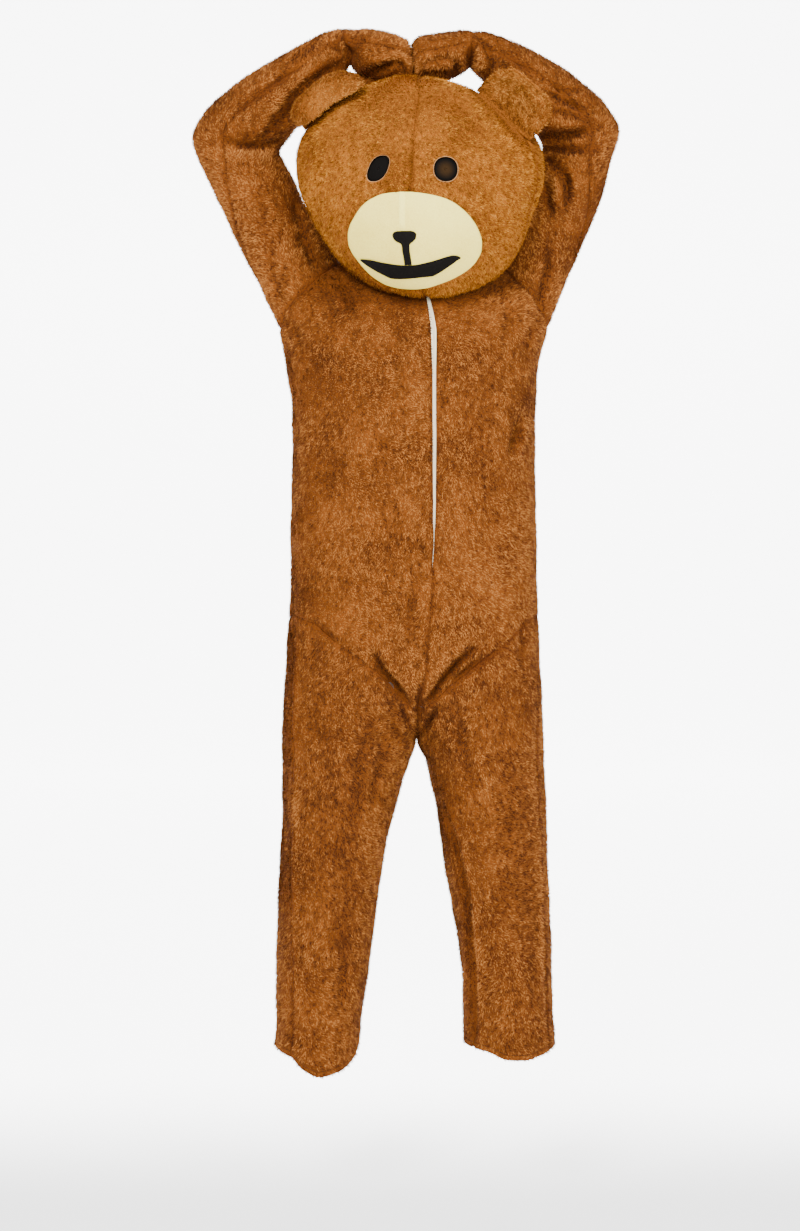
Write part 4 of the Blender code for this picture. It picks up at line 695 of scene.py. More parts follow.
def muzzle_rise(x, height):
    across = (x - MUZZLE_CENTRE[0]) / MUZZLE_REACH[0]
    up = (height - MUZZLE_CENTRE[1]) / MUZZLE_REACH[1]
    return MUZZLE_RISE * np.exp(-(across ** 2 + up ** 2))


def head_front(x, height):
    """Point on the head's face for a place in the front view."""
    x = np.asarray(x, dtype=float)
    height = np.asarray(height, dtype=float)
    row = read_all(HEAD, HEAD_COLUMNS, height)
    sine = np.clip((x - (row["right"] + row["left"]) / 2) / ((row["left"] - row["right"]) / 2), -1, 1)
    point = head_ring(head_turn(height), np.degrees(np.arcsin(sine)))
    point[..., 0] = x
    return point


def head_front_out(x, height, out):
    """Point in front of the head's face, moved out along the cloth's normal."""
    x, height = np.broadcast_arrays(np.asarray(x, dtype=float), np.asarray(height, dtype=float))
    along_x = head_front(x + NORMAL_STEP, height) - head_front(x - NORMAL_STEP, height)
    along_z = head_front(x, height + NORMAL_STEP) - head_front(x, height - NORMAL_STEP)
    normal = np.cross(along_x, along_z)
    normal = normal / np.linalg.norm(normal, axis=-1, keepdims=True)
    return head_front(x, height) + normal * np.asarray(out)[..., None]


def head_panel(start, end, shares, rows):
    """Grid of a head panel between two seams, from the crown down to the neck rim."""
    share, row = np.meshgrid(shares, rows)
    turn = FIRST_RIM_TURN * row
    for _ in range(4):
        bearing = mix(head_seam(start, turn), head_seam(end, turn), share)
        turn = row * read(HEAD_RIM, HEAD_RIM_COLUMNS, "turn", np.abs(np.mod(bearing + 180, 360) - 180))
    return head_ring(turn, bearing)


def head_seam(name, turn):
    if name == "right_behind":
        return read(HEAD_SEAMS, HEAD_SEAM_COLUMNS, "right", turn) + 360
    if name == "behind":
        return np.full(np.shape(turn), 180.0)
    return read(HEAD_SEAMS, HEAD_SEAM_COLUMNS, name, turn)


def line_push(points, normals, lines, margin, power):
    """How far troughs and ridges along the given lines move each point along its normal."""
    push = np.zeros(points.shape[:-1])
    flat = points[..., [0, 2]]
    for face, rows in lines.items():
        facing = np.clip(face * normals[..., 1] * FACING_GAIN, 0, 1)
        for width, depth, *line in rows:
            line = np.reshape(line, (-1, 2)) / MILLIMETRES
            steps = step_lengths(line, 0)
            away = np.full(push.shape, FAR)
            share = np.zeros(push.shape)
            done = 0.0
            for start, end, step in zip(line[:-1], line[1:], steps):
                along = np.clip(((flat - start) @ (end - start)) / step ** 2, 0, 1)
                reach = np.linalg.norm(flat - (start + along[..., None] * (end - start)), axis=-1)
                share = np.where(reach < away, (done + along * step) / steps.sum(), share)
                away = np.minimum(away, reach)
                done += step
            taper = np.sin(math.pi * (margin + (1 - 2 * margin) * share)) ** power
            push += depth / TENTHS * bell(away, width / TENTHS) * facing * taper
    return push


def shared_normals(grids, signs):
    """Unit outward normals of every grid, averaged where grids share a seam."""
    keys = [np.round(grid * 1e6).astype(np.int64).reshape(-1, 3) for grid in grids]
    sums = {}
    for grid, sign, spots in zip(grids, signs, keys):
        face = cell_crosses(grid) * sign
        total = np.zeros(grid.shape)
        total[:-1, :-1] += face
        total[:-1, 1:] += face
        total[1:, 1:] += face
        total[1:, :-1] += face
        for key, value in zip(map(tuple, spots), total.reshape(-1, 3)):
            sums[key] = sums.get(key, np.zeros(3)) + value
    return [unit(np.array([sums[tuple(key)] for key in spots])).reshape(grid.shape)
            for grid, spots in zip(grids, keys)]


def eye_outline(side, inset):
    """Outline of an eye opening in the front view."""
    x, height, half_width, half_height, lean, squareness = EYES[side]
    turns = 2 * math.pi * np.arange(EYE_POINTS) / EYE_POINTS
    across, up = (
        np.sign(wave) * np.abs(wave) ** (2 / squareness) * (half - inset)
        for wave, half in ((np.cos(turns), half_width), (np.sin(turns), half_height))
    )
    return np.stack([x + across + lean * up, height + up], axis=-1)


def strip_grid(table, rows, columns, sideways=False):
    """Front-view grid of a shape given as a strip between two outlines."""
    steps = [(i, *row) for i, row in enumerate(sorted(table))]
    row = read_all(steps, ("step",) + STRIP_COLUMNS, np.linspace(0, len(table) - 1, rows))
    across = mix(row["right"][:, None], row["left"][:, None], np.linspace(0, 1, columns)[None, :])
    along = np.repeat(row["height"][:, None], columns, axis=1)
    return (along, across) if sideways else (across, along)


def head_turn(height):
    """Degrees from the crown down at which the head reaches a height."""
    return np.degrees(np.arccos(np.clip((height - HEAD_MIDDLE_HEIGHT) / HEAD_REACH, -1, 1)))


def ear_foot(x, height, behind):
    """Points just off the head's side, a given distance behind the place seen from the front."""
    turn = head_turn(height)
    outward = np.sign(x[0])
    side_x = head_ring(turn, np.full(turn.shape, 90.0 * outward))[:, 0]
    centre_x = head_ring(turn, np.zeros(turn.shape))[:, 0]
    reach = HEAD_FRONT_DEPTH * np.sin(np.radians(turn)) ** HEAD_ROUNDNESS
    sine = np.clip(np.abs(x - centre_x) / np.abs(side_x - centre_x), 0, 1)
    ahead = np.cos(np.arcsin(sine)) - behind / reach
    foot = head_ring(turn, np.degrees(np.arccos(ahead)) * outward)
    return foot + np.array([EAR_GAP * outward, 0, EAR_GAP])


def crease_push(points, normals):
    """How far the smaller creases move each point along its normal."""
    return line_push(points, normals, CREASES, 0.10, 0.7)


def slack(points):
    """Gentle unevenness that soft cloth has everywhere."""
    x, y, z = points[..., 0], points[..., 1], points[..., 2]
    broad = np.sin(23 * x + 9 * z + 4 * y + 0.7) * np.sin(11 * z - 7 * x + 2.1)
    fine = np.sin(58 * x - 31 * z + 1.3) * np.sin(44 * z + 27 * y + 0.4)
    return 0.0016 * broad + 0.0008 * fine


def cloud(points, size, seed):
    """Smooth random field, about -1 to 1, with patches of the given size in metres."""
    lattice = np.random.default_rng(seed).uniform(-1.6, 1.6, (CLOUD_CELLS,) * 3)
    place = points / size
    cell = np.floor(place).astype(int)
    share = place - cell
    share = share * share * (3 - 2 * share)
    total = 0.0
    for corner in np.ndindex(2, 2, 2):
        weight = np.prod(np.where(corner, share, 1 - share), axis=-1)
        index = (cell + corner) % CLOUD_CELLS
        total = total + weight * lattice[index[..., 0], index[..., 1], index[..., 2]]
    return total


def wander(points):
    """Wandering of the nap over the cloth, in radians."""
    return 0.45 + 0.75 * cloud(points, 0.075, 1) + 0.55 * cloud(points, 0.022, 2)


def edge_distance(grid, edges):
    """Distance over the cloth from every grid point to the nearest of the named edges."""
    from_start = run_lengths(grid.swapaxes(0, 1)).T
    from_bottom = run_lengths(grid)
    lines = {
        "start": from_start,
        "end": from_start[:, -1:] - from_start,
        "bottom": from_bottom,
        "top": from_bottom[-1:] - from_bottom,
    }
    nearest = np.full(grid.shape[:2], FAR)
    for name in edges:
        nearest = np.minimum(nearest, lines[name])
    return nearest


def unit(vectors):
    return vectors / np.maximum(np.linalg.norm(vectors, axis=-1, keepdims=True), 1e-12)


def lowered(points):
    return np.asarray(points, dtype=float) - np.array([0.0, 0.0, HOLD_HEIGHT])


def node_of(tree, kind, **values):
    node = tree.nodes.new(kind)
    for name, value in values.items():
        setattr(node, name, value)
    return node


def new_material(name, roughness, sheen, sheen_roughness, specular):
    material = bpy.data.materials.new(name)
    material.use_nodes = True
    shader = material.node_tree.nodes["Principled BSDF"]
    values = {"Roughness": roughness, "Sheen Weight": sheen, "Sheen Roughness": sheen_roughness,
              "Specular IOR Level": specular}
    for word, value in values.items():
        shader.inputs[word].default_value = value
    return material, material.node_tree, shader


def noise(tree, coords, scale, detail=2.0):
    texture = node_of(tree, "ShaderNodeTexNoise")
    texture.inputs["Scale"].default_value = scale
    texture.inputs["Detail"].default_value = detail
    tree.links.new(coords, texture.inputs["Vector"])
    return texture.outputs["Fac"]


def coords_of(tree):
    return node_of(tree, "ShaderNodeTexCoord").outputs["Object"]


def parts_of(tree, vector):
    """The single coordinates of a vector."""
    parts = node_of(tree, "ShaderNodeSeparateXYZ")
    tree.links.new(vector, parts.inputs[0])
    return parts.outputs


def maths(tree, operation, *values):
    """Result of a sum over sockets and plain numbers."""
    node = node_of(tree, "ShaderNodeMath", operation=operation)
    for socket, value in zip(node.inputs, values):
        if isinstance(value, float):
            socket.default_value = value
        else:
            tree.links.new(value, socket)
    return node.outputs[0]


def weighted(tree, parts):
    """Sum of sockets, each times its weight."""
    total = 0.0
    for socket, weight in parts:
        total = maths(tree, "MULTIPLY_ADD", socket, weight, total)
    return total


def ramp(tree, socket, stops):
    """Colour ramp with (place, colour) stops."""
    node = node_of(tree, "ShaderNodeValToRGB")
    elements = node.color_ramp.elements
    while len(elements) < len(stops):
        elements.new(0.5)
    for element, (place, colour) in zip(elements, stops):
        element.position = place
        element.color = (*colour, 1.0)
    tree.links.new(socket, node.inputs["Fac"])
    return node.outputs["Color"]


def bump(tree, shader, height, distance):
    node = node_of(tree, "ShaderNodeBump")
    node.inputs["Distance"].default_value = distance
    node.inputs["Strength"].default_value = 1.0
    tree.links.new(height, node.inputs["Height"])
    tree.links.new(node.outputs["Normal"], shader.inputs["Normal"])


def pile_material(name, dark, middle, light):
    """Plush tufts: tone differs from tuft to tuft and in soft patches, and painted shade darkens the roots
    against the tips.
    """
    material, tree, shader = new_material(name, 0.90, 0.05, 0.45, 0.02)
    shader.inputs["Sheen Tint"].default_value = (1.0, 0.62, 0.30, 1.0)
    coords = coords_of(tree)
    stretch = node_of(tree, "ShaderNodeVectorMath", operation="MULTIPLY")
    stretch.inputs[1].default_value = (1.0, 1.0, 0.55)
    tree.links.new(coords, stretch.inputs[0])
    leaf = parts_of(tree, node_of(tree, "ShaderNodeUVMap", uv_map="tuft").outputs["UV"])
    broad = noise(tree, stretch.outputs[0], 9.0, 1.0)
    tone = weighted(tree, [(leaf["X"], 0.90), (broad, 0.14), (noise(tree, coords, 50.0), 0.08),
                           (noise(tree, coords, 190.0), 0.40)])
    colour = ramp(tree, tone, [(0.41, dark), (0.76, middle), (0.92, light)])
    # Painted shade: each tuft darker towards its root, where the tufts shade one another.
    depth = ramp(tree, leaf["Y"], [(0.0, (0.40, 0.36, 0.34)), (0.55, (1.0, 1.0, 1.0))])
    shade = node_of(tree, "ShaderNodeMix", data_type="RGBA", blend_type="MULTIPLY")
    shade.inputs["Factor"].default_value = 1.0
    tree.links.new(colour, shade.inputs[6])
    tree.links.new(depth, shade.inputs[7])
    tree.links.new(shade.outputs[2], shader.inputs["Base Color"])
    return material


def cloth_material(name, dark, light, scale, height, roughness=0.95):
    """Plain cloth or felt: fine fibre noise in colour and bump."""
    material, tree, shader = new_material(name, roughness, 0.0, 0.5, 0.08)
    coords = coords_of(tree)
    fine = noise(tree, coords, scale, 4.0)
    tone = weighted(tree, [(fine, 0.5), (noise(tree, coords, 11.0), 0.5)])
    tree.links.new(ramp(tree, tone, [(0.35, dark), (0.65, light)]), shader.inputs["Base Color"])
    bump(tree, shader, fine, height)
    return material


def felt_material(name, dark, light):
    """Pale felt: a lighter band above the nose, and painted light that makes it lighter towards the top and
    the wearer's left.
    """
    material, tree, shader = new_material(name, 0.95, 0.0, 0.5, 0.08)
    coords = coords_of(tree)
    place = parts_of(tree, coords)
    aside = maths(tree, "ABSOLUTE", maths(tree, "SUBTRACT", place["X"], MUZZLE_BAND_X))
    band = spread(tree, aside, (0.0036, 0.0056), (1.0, 0.0))
    above = spread(tree, place["Z"], (1.586 - HOLD_HEIGHT, 1.600 - HOLD_HEIGHT), (0.0, 1.0))
    # Painted light: lighter towards the top and towards the wearer's left, where more light falls.
    painted_top_light = spread(tree, place["Z"], (1.560 - HOLD_HEIGHT, 1.655 - HOLD_HEIGHT), (0.0, 1.0))
    painted_side_light = spread(tree, place["X"], (-0.045, 0.005), (0.0, 1.0))
    fine = noise(tree, coords, 420.0, 4.0)
    tone = weighted(tree, [(fine, 0.42), (noise(tree, coords, 24.0), 0.30), (painted_top_light, 0.14), (painted_side_light, 0.10),
                           (maths(tree, "MULTIPLY", band, above), 0.22)])
    tree.links.new(ramp(tree, tone, [(0.28, dark), (0.72, light)]), shader.inputs["Base Color"])
    bump(tree, shader, fine, 0.0012)
    return material


def knit_material(name, dark, light):
    """The knitted backing of plush, seen at open edges: fine courses and wales."""
    material, tree, shader = new_material(name, 0.95, 0.1, 0.5, 0.2)
    coords = coords_of(tree)
    waves = []
    for direction, scale in (("Z", 210.0), ("X", 260.0)):
        wave = node_of(tree, "ShaderNodeTexWave", bands_direction=direction)
        wave.inputs["Scale"].default_value = scale
        wave.inputs["Distortion"].default_value = 1.5
        tree.links.new(coords, wave.inputs["Vector"])
        waves.append((wave.outputs["Fac"], 0.5))
    loops = weighted(tree, waves)
    tree.links.new(ramp(tree, loops, [(0.2, dark), (0.8, light)]), shader.inputs["Base Color"])
    bump(tree, shader, loops, 0.0004)
    return material


def eye_material(name, centre, painted_glow):
    """Dark open mesh: tiny holes between threads, with a painted glow of light about its centre."""
    material, tree, shader = new_material(name, 0.8, 0.0, 0.5, 0.05)
    coords = coords_of(tree)
    weave = node_of(tree, "ShaderNodeTexVoronoi")
    weave.inputs["Scale"].default_value = 900.0
    tree.links.new(coords, weave.inputs["Vector"])
    place = node_of(tree, "ShaderNodeVectorMath", operation="DISTANCE")
    tree.links.new(coords, place.inputs[0])
    place.inputs[1].default_value = centre
    # Painted glow: the mesh's colour turns lighter towards its centre.
    colour = ramp(tree, place.outputs["Value"], [(0.0, painted_glow), (0.005, painted_glow), (0.015, EYE_DARK)])
    tree.links.new(colour, shader.inputs["Base Color"])
    bump(tree, shader, weave.outputs["Distance"], 0.0003)
    return material


def make_materials():
    materials = {name: pile_material(name, *tones) for name, tones in PILE_TONES.items()}
    materials.update((name, cloth_material(name, *values)) for name, values in CLOTHS.items())
    materials["backing"] = knit_material("backing", (0.070, 0.026, 0.008), (0.140, 0.056, 0.018))
    materials["felt"] = felt_material("felt", (0.780, 0.600, 0.105), (0.990, 0.860, 0.215))
    return materials


def mesh_piece(name, points, faces, materials, spots=None, places=None, smooth=True):
    """One object from arrays of points and of triangles or quads; spots gives each face's material."""
    points = lowered(points)
    faces = np.asarray(faces)
    corners = faces.shape[1]
    mesh = bpy.data.meshes.new(name)
    mesh.vertices.add(len(points))
    mesh.vertices.foreach_set("co", points.astype(np.float32).ravel())
    mesh.loops.add(faces.size)
    mesh.loops.foreach_set("vertex_index", faces.astype(np.int32).ravel())
    mesh.polygons.add(len(faces))
    mesh.polygons.foreach_set("loop_start", np.arange(0, faces.size, corners, dtype=np.int32))
    mesh.polygons.foreach_set("use_smooth", np.full(len(faces), smooth))
    if spots is not None:
        mesh.polygons.foreach_set("material_index", np.asarray(spots, dtype=np.int32))
    if places is not None:
        layer = mesh.uv_layers.new(name="tuft")
        layer.data.foreach_set("uv", places.astype(np.float32).ravel())
    for material in materials:
        mesh.materials.append(material)
    mesh.update(calc_edges=True)
    piece = bpy.data.objects.new(name, mesh)
    bpy.context.scene.collection.objects.link(piece)
    return piece


def quad_halves(a, b, c, d):
    return np.concatenate([np.stack([a, b, c], axis=-1), np.stack([a, c, d], axis=-1)])


def skin_faces(rows, columns, wrap):
    """Triangles of one skin of a grid."""
    around = columns if wrap else columns - 1
    row, column = np.meshgrid(np.arange(rows - 1), np.arange(around), indexing="ij")
    low, high = row * columns, (row + 1) * columns
    following = (column + 1) % columns
    return quad_halves((low + column).ravel(), (low + following).ravel(),
                       (high + following).ravel(), (high + column).ravel())


def strip_faces(fine, coarse, step, forward):
    """Triangles that join a line of points to one with fewer points."""
    place = np.arange(len(fine) - 1)
    near = coarse[place // step + (place % step > (step - 1) // 2)]
    first = np.stack([fine[:-1], fine[1:], near], axis=-1)
    turn = fine[np.arange(len(coarse) - 1) * step + (step - 1) // 2 + 1]
    second = np.stack([turn, coarse[1:], coarse[:-1]], axis=-1)
    faces = np.concatenate([first, second])
    return faces if forward else faces[:, ::-1]


def shell_faces(outer_shape, inner_shape, step, wrap):
    """Triangles of the outer skin, and of the inner skin with the edges that join the two."""
    rows, columns = outer_shape
    count = rows * columns
    outer = skin_faces(rows, columns, wrap)
    inner = skin_faces(*inner_shape, wrap)[:, ::-1] + count
    fine = np.arange(count).reshape(rows, columns)
    coarse = np.arange(inner_shape[0] * inner_shape[1]).reshape(inner_shape) + count
    if wrap:
        fine = np.concatenate([fine, fine[:, :1]], axis=1)
        coarse = np.concatenate([coarse, coarse[:, :1]], axis=1)
    edges = [strip_faces(fine[0], coarse[0], step, False), strip_faces(fine[-1], coarse[-1], step, True)]
    if not wrap:
        edges.append(strip_faces(fine[:, 0], coarse[:, 0], step, True))
        edges.append(strip_faces(fine[:, -1], coarse[:, -1], step, False))
    return outer, np.concatenate([inner] + edges)


def backing(before, dip, step):
    """The cloth's inner skin, with fewer points, below the deepest crease near each of them."""
    grid, normal, move = before
    depth = dip - move
    padded = np.pad(depth, step, mode="edge")
    rows, columns = depth.shape
    for down in range(2 * step + 1):
        for over in range(2 * step + 1):
            depth = np.maximum(depth, padded[down:down + rows, over:over + columns])
    return (grid - normal * (depth + SHELL)[..., None])[::step, ::step]


def riding(piece):
    """Lets a piece ride the body."""
    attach(piece, ROOT)
    return piece


def prism_sides(starts, sides):
    """Quads round prisms whose points are two rings each, numbered from the given starts."""
    faces = []
    for k in range(sides):
        j = (k + 1) % sides
        faces.append(np.stack([starts + k, starts + j, starts + sides + j, starts + sides + k], axis=-1))
    return faces


def build_shell(name, nodes, outer, inner, materials, wrap=False, flip=False, step=1):
    """A thin closed shell that stands for its node or nodes."""
    front, rest = shell_faces(outer.shape[:2], inner.shape[:2], step, wrap)
    faces = np.concatenate([front, rest])
    if flip:
        faces = faces[:, ::-1]
    spots = np.concatenate([np.zeros(len(front)), np.full(len(rest), len(materials) - 1)])
    points = np.concatenate([outer.reshape(-1, 3), inner.reshape(-1, 3)])
    piece = riding(mesh_piece(name, points, faces, materials, spots))
    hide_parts(*nodes)
    return piece


def declare_sheet(grid, pieces, flat=None):
    """Works out how large the piece's cloth lies flat, as given or from the lengths over its grid, and its
    area.
    """
    across = step_lengths(grid, 1).sum(axis=1).max()
    along = step_lengths(grid, 0).sum(axis=0).max()
    if flat is not None:
        across, along = flat
    area = np.linalg.norm(cell_crosses(grid), axis=-1).sum() / 2
    area = float(np.clip(area, LEAST_AREA * across * along, across * along))


def tufts(spec, chance, grid, normals, nap, reach, shade, blocked):
    """Triangles and tones of the tufts over one panel; blocked says where none may stand."""
    area = np.linalg.norm(cell_crosses(grid), axis=-1).ravel() / 2
    count = int(area.sum() / spec["cell"])
    places = (np.arange(count) + chance.random(count)) / count * area.sum()
    cell = np.minimum(np.searchsorted(np.cumsum(area), places), len(area) - 1)
    row, column = np.divmod(cell, grid.shape[1] - 1)
    u, v = chance.random(count), chance.random(count)

    def at(field):
        extra = (slice(None),) + (None,) * (field.ndim - 2)
        low = mix(field[row, column], field[row, column + 1], u[extra])
        high = mix(field[row + 1, column], field[row + 1, column + 1], u[extra])
        return mix(low, high, v[extra])

    base = at(grid)
    normal = unit(at(normals))
    along = at(nap)
    across = unit(np.cross(normal, along))
    along = np.cross(across, normal)
    turn = wander(base) + np.radians(spec["stray"]) * chance.standard_normal(count)
    along = along * np.cos(turn)[:, None] + across * np.sin(turn)[:, None]
    across = np.cross(normal, along)
    length = np.minimum(spec["length"] * (0.7 + 0.6 * chance.random(count)), at(reach))
    clump = cloud(base * CLUMP_STRETCH, spec["clump"], 5)
    brushed = 0.9 * clump + 0.12 * cloud(base, 0.011, 3) + 0.12 * cloud(base, 0.032, 4)
    rise = spec["rise"] * (1.0 + 0.48 * brushed) + RISE_STRAY * chance.standard_normal(count)
    rise = np.radians(np.clip(rise, *RISE_LIMITS))
    width = spec["width"] * (0.7 + 0.6 * chance.random(count)) * np.clip(length / spec["length"], 0.5, 1.0)
    tip = base + (along * np.cos(rise)[:, None] + normal * np.sin(rise)[:, None]) * length[:, None]
    keep = np.ones(count, dtype=bool)
    if blocked is not None:
        keep &= ~blocked(base, 0.0)
        hidden = blocked(tip, -0.0012)
        short = base + (tip - base) * 0.3
        keep &= ~(hidden & blocked(short, -0.0006))
        tip = np.where(hidden[:, None], short, tip)
    root = base - normal * ROOT_DEPTH
    roll = np.radians(ROLL_STRAY) * chance.standard_normal(count)
    side = (across * np.cos(roll)[:, None] + normal * np.sin(roll)[:, None]) * width[:, None] / 2
    tone = 0.5 + TUFT_SPREAD * (chance.random(count) - 0.5) - 0.10 * brushed - spec["grain"] * clump
    leaves = np.stack([root - side, root + side, tip], axis=1)
    # The shade field adds painted light and shade to each tuft's tone.
    return leaves[keep], np.clip(tone + at(shade), 0.0, 1.0)[keep]


def add_pile(name, panels, kind, material, seed):
    """Tufts over the given panels as one mesh. A panel is (grid, normals, nap, reach, shade, blocked)."""
    spec = dict(zip(PILE_COLUMNS, PILES[kind]))
    chance = np.random.default_rng(seed)
    grown = [tufts(spec, chance, *panel) for panel in panels]
    points = np.concatenate([leaves for leaves, _ in grown])
    tones = np.concatenate([tones for _, tones in grown])
    faces = np.arange(3 * len(points)).reshape(-1, 3)
    level = np.tile(np.array([0.0, 0.0, 1.0]), len(points))
    places = np.stack([np.repeat(tones, 3), level], axis=-1)
    piece = mesh_piece(name, points.reshape(-1, 3), faces, [material], places=places, smooth=False)
    return riding(piece)


def two_parts(middle, first, second):
    """Row places from 0 to 1, evenly in a number of steps up to the middle and in another above it."""
    return np.concatenate([np.linspace(0, middle, first + 1), np.linspace(middle, 1, second + 1)[1:]])


def suit_rows():
    armpit_row = (ARMPIT_HEIGHT - SIDE_HIP_HEIGHT) / (SHOULDER_HEIGHT - SIDE_HIP_HEIGHT)
    crotch_row = (CROTCH_HEIGHT - HEM_INNER_HEIGHT) / (MIDDLE_HIP_HEIGHT - HEM_INNER_HEIGHT)
    return two_parts(armpit_row, TRUNK_ROWS, ARMHOLE_ROWS), two_parts(crotch_row, LEG_ROWS, CROTCH_ROWS)


def suit_grids():
    """Trunk, legs, sleeves and mittens as one cloth form in fine panels."""
    shares = np.linspace(0, 1, ACROSS + 1)
    ring_shares = np.linspace(0, 1, RING_POINTS + 1)
    trunk_rows, leg_rows = suit_rows()
    hand_rows = np.concatenate([np.linspace(0, 1, 21), 1 + np.linspace(0.15, 1.0, 7)])
    first = len(trunk_rows) - 1 - ARMHOLE_ROWS
    middle = RING_POINTS // 2
    grids, signs = {}, {}
    for side, table in ((RIGHT, RIGHT_MITTEN), (LEFT, LEFT_MITTEN)):
        word = SIDE_NAMES[side]
        for face in (FRONT, BACK):
            name = FACE_NAMES[face] + "_" + word
            grids["trunk_" + name] = trunk_panel(side, face, shares, trunk_rows)
            grids["leg_" + name] = leg_panel(side, face, shares, leg_rows)
            signs["trunk_" + name] = signs["leg_" + name] = -side * face
        front, back = (grids["trunk_" + face + "_" + word][first:, -1] for face in ("front", "back"))
        armhole = np.concatenate([front, back[:-1][::-1]])
        sleeve = sleeve_cloth(side, armhole, ring_shares, np.linspace(0, 1, SLEEVE_ROWS + 1))
        hand = hand_cloth(table, ring_shares + SEAM_TWIST / (2 * math.pi), hand_rows)
        hand[0] = sleeve[-1]
        for part, grid in (("sleeve_", sleeve), ("mitten_", hand)):
            grids[part + "front_" + word] = grid[:, :middle + 1]
            grids[part + "back_" + word] = grid[:, middle:]
            signs[part + "front_" + word] = signs[part + "back_" + word] = -side
    return grids, signs


def arm_fill(points):
    """Brings the sleeve at the wearer's right in behind the head, and both hands' tips together."""
    x, height = points[..., 0], points[..., 2]
    away = np.full(x.shape, FAR)
    for place in FILL_PLACES:
        away = np.minimum(away, np.hypot(x - place[0], height - place[1]))
    meeting = mix(-0.0058, -0.0132, (height - 1.845) / 0.068)
    high = (height - 1.842) / 0.068
    to_right = ease((x + 0.060) / 0.040) * (meeting - SEAM_GAP - mix(-0.0190, -0.0110, high))
    to_left = ease((0.030 - x) / 0.030) * (meeting + SEAM_GAP - mix(-0.0070, -0.0100, high))
    hand = np.where(x < meeting, to_right, to_left) * ease((height - 1.82) / 0.02) * (np.abs(x) < 0.08)
    return FILL_DEPTH * bell(away, FILL_WIDTH) * (x < 0) * ease((1.70 - height) / 0.03) + hand


def settle(grids, signs, push):
    """Moves every grid along shared normals. Returns the grids, their new normals, and what was before."""
    names = list(grids)
    sign_list = [signs[n] for n in names]
    normals = dict(zip(names, shared_normals([grids[n] for n in names], sign_list)))
    moves = {n: push(grids[n], normals[n]) + slack(grids[n]) for n in names}
    moved = {n: grids[n] + normals[n] * moves[n][..., None] for n in names}
    before = {n: (grids[n], normals[n], moves[n]) for n in names}
    return moved, dict(zip(names, shared_normals([moved[n] for n in names], sign_list))), before


def suit_push(points, normals):
    softer = mix(1.0, 0.5, ease((points[..., 2] - 1.45) / 0.1))
    folds = line_push(points, normals, FOLDS, 0.12, 1.0)
    return softer * folds + crease_push(points, normals) + palm_push(points, normals)


def palm_push(points, normals):
    """The underside of the right mitten, fuller where it rests on the head."""
    place = bell(points[..., 0] + 0.060, 0.024) * ease((1.890 - points[..., 2]) / 0.010)
    under = ease(-normals[..., 2] * FACING_GAIN)
    return PALM_DEPTH * place * under * ease((points[..., 2] - 1.83) / 0.01)


def seam_edges(name):
    """Edges of a suit panel that are sewn to a neighbour, and so dip into a seam."""
    if name.startswith("leg"):
        return ("top", "start", "end")
    if name.startswith("sleeve"):
        return ("bottom", "top", "start", "end")
    return ("bottom", "start", "end")


def half_zip(height):
    """Half the width of the zip that shows between the pile."""
    return read(ZIP_SHOWN, ZIP_COLUMNS, "half_width", height)


def open_zip(grid):
    """The front edge drawn back from the zip, narrowing to nothing at the zip's lower end."""
    opened = grid.copy()
    gap = half_zip(grid[:, 0, 2]) * ease((grid[:, 0, 2] - ZIP_END_HEIGHT) / 0.02)
    opened[:, 0] += unit(grid[:, 1] - grid[:, 0]) * gap[:, None]
    return opened


def suit_surface(name, grid, normal):
    """Depth of the cloth under the pile, the longest pile and the painted shade over one suit panel."""
    seam = edge_distance(grid, seam_edges(name))
    crease = crease_push(grid, normal)
    dip = PILE_ROOM + SEAM_TROUGH * bell(seam, SEAM_TROUGH_WIDTH)
    reach = 0.0036 + 0.8 * seam
    if name.startswith("leg"):
        hem = edge_distance(grid, ("bottom",))
        dip = dip + HEM_TROUGH * bell(hem - HEM_STITCH, HEM_TROUGH_WIDTH)
        reach = np.minimum(reach, np.where(hem > HEM_STITCH, 0.0015 + 0.9 * (hem - HEM_STITCH), 0.0075))
    if name.startswith("mitten"):
        near_tip = ease((np.linspace(0, 1, len(grid)) - 0.7) / 0.2)[:, None]
        dip = dip * (1 - 0.9 * near_tip)
    reach = reach * mix(0.35, 1.0, np.exp(np.minimum(crease, 0) / 0.004))
    deeper = ARM_SHADE if name.startswith(("sleeve", "mitten")) else 1.0
    # Painted shade: darker pile in the creases and by the seams.
    shade = deeper * SHADE * np.clip(crease, *SHADE_LIMITS) - SEAM_SHADE * bell(seam, SEAM_SHADE_WIDTH)
    # Painted shade: the legs' pile darker.
    shade = shade - (LEG_SHADE if name.startswith("leg") else 0.0)
    if name.startswith("trunk"):
        # Painted shadow under the head's chin, on the front of the trunk.
        chin = 1.484 + 1.3 * (grid[..., 0] + 0.010) ** 2
        shade = shade - CHIN_SHADE * bell(grid[..., 2] - chin, 0.012) * (grid[..., 1] < 0)
    return dip, reach, shade


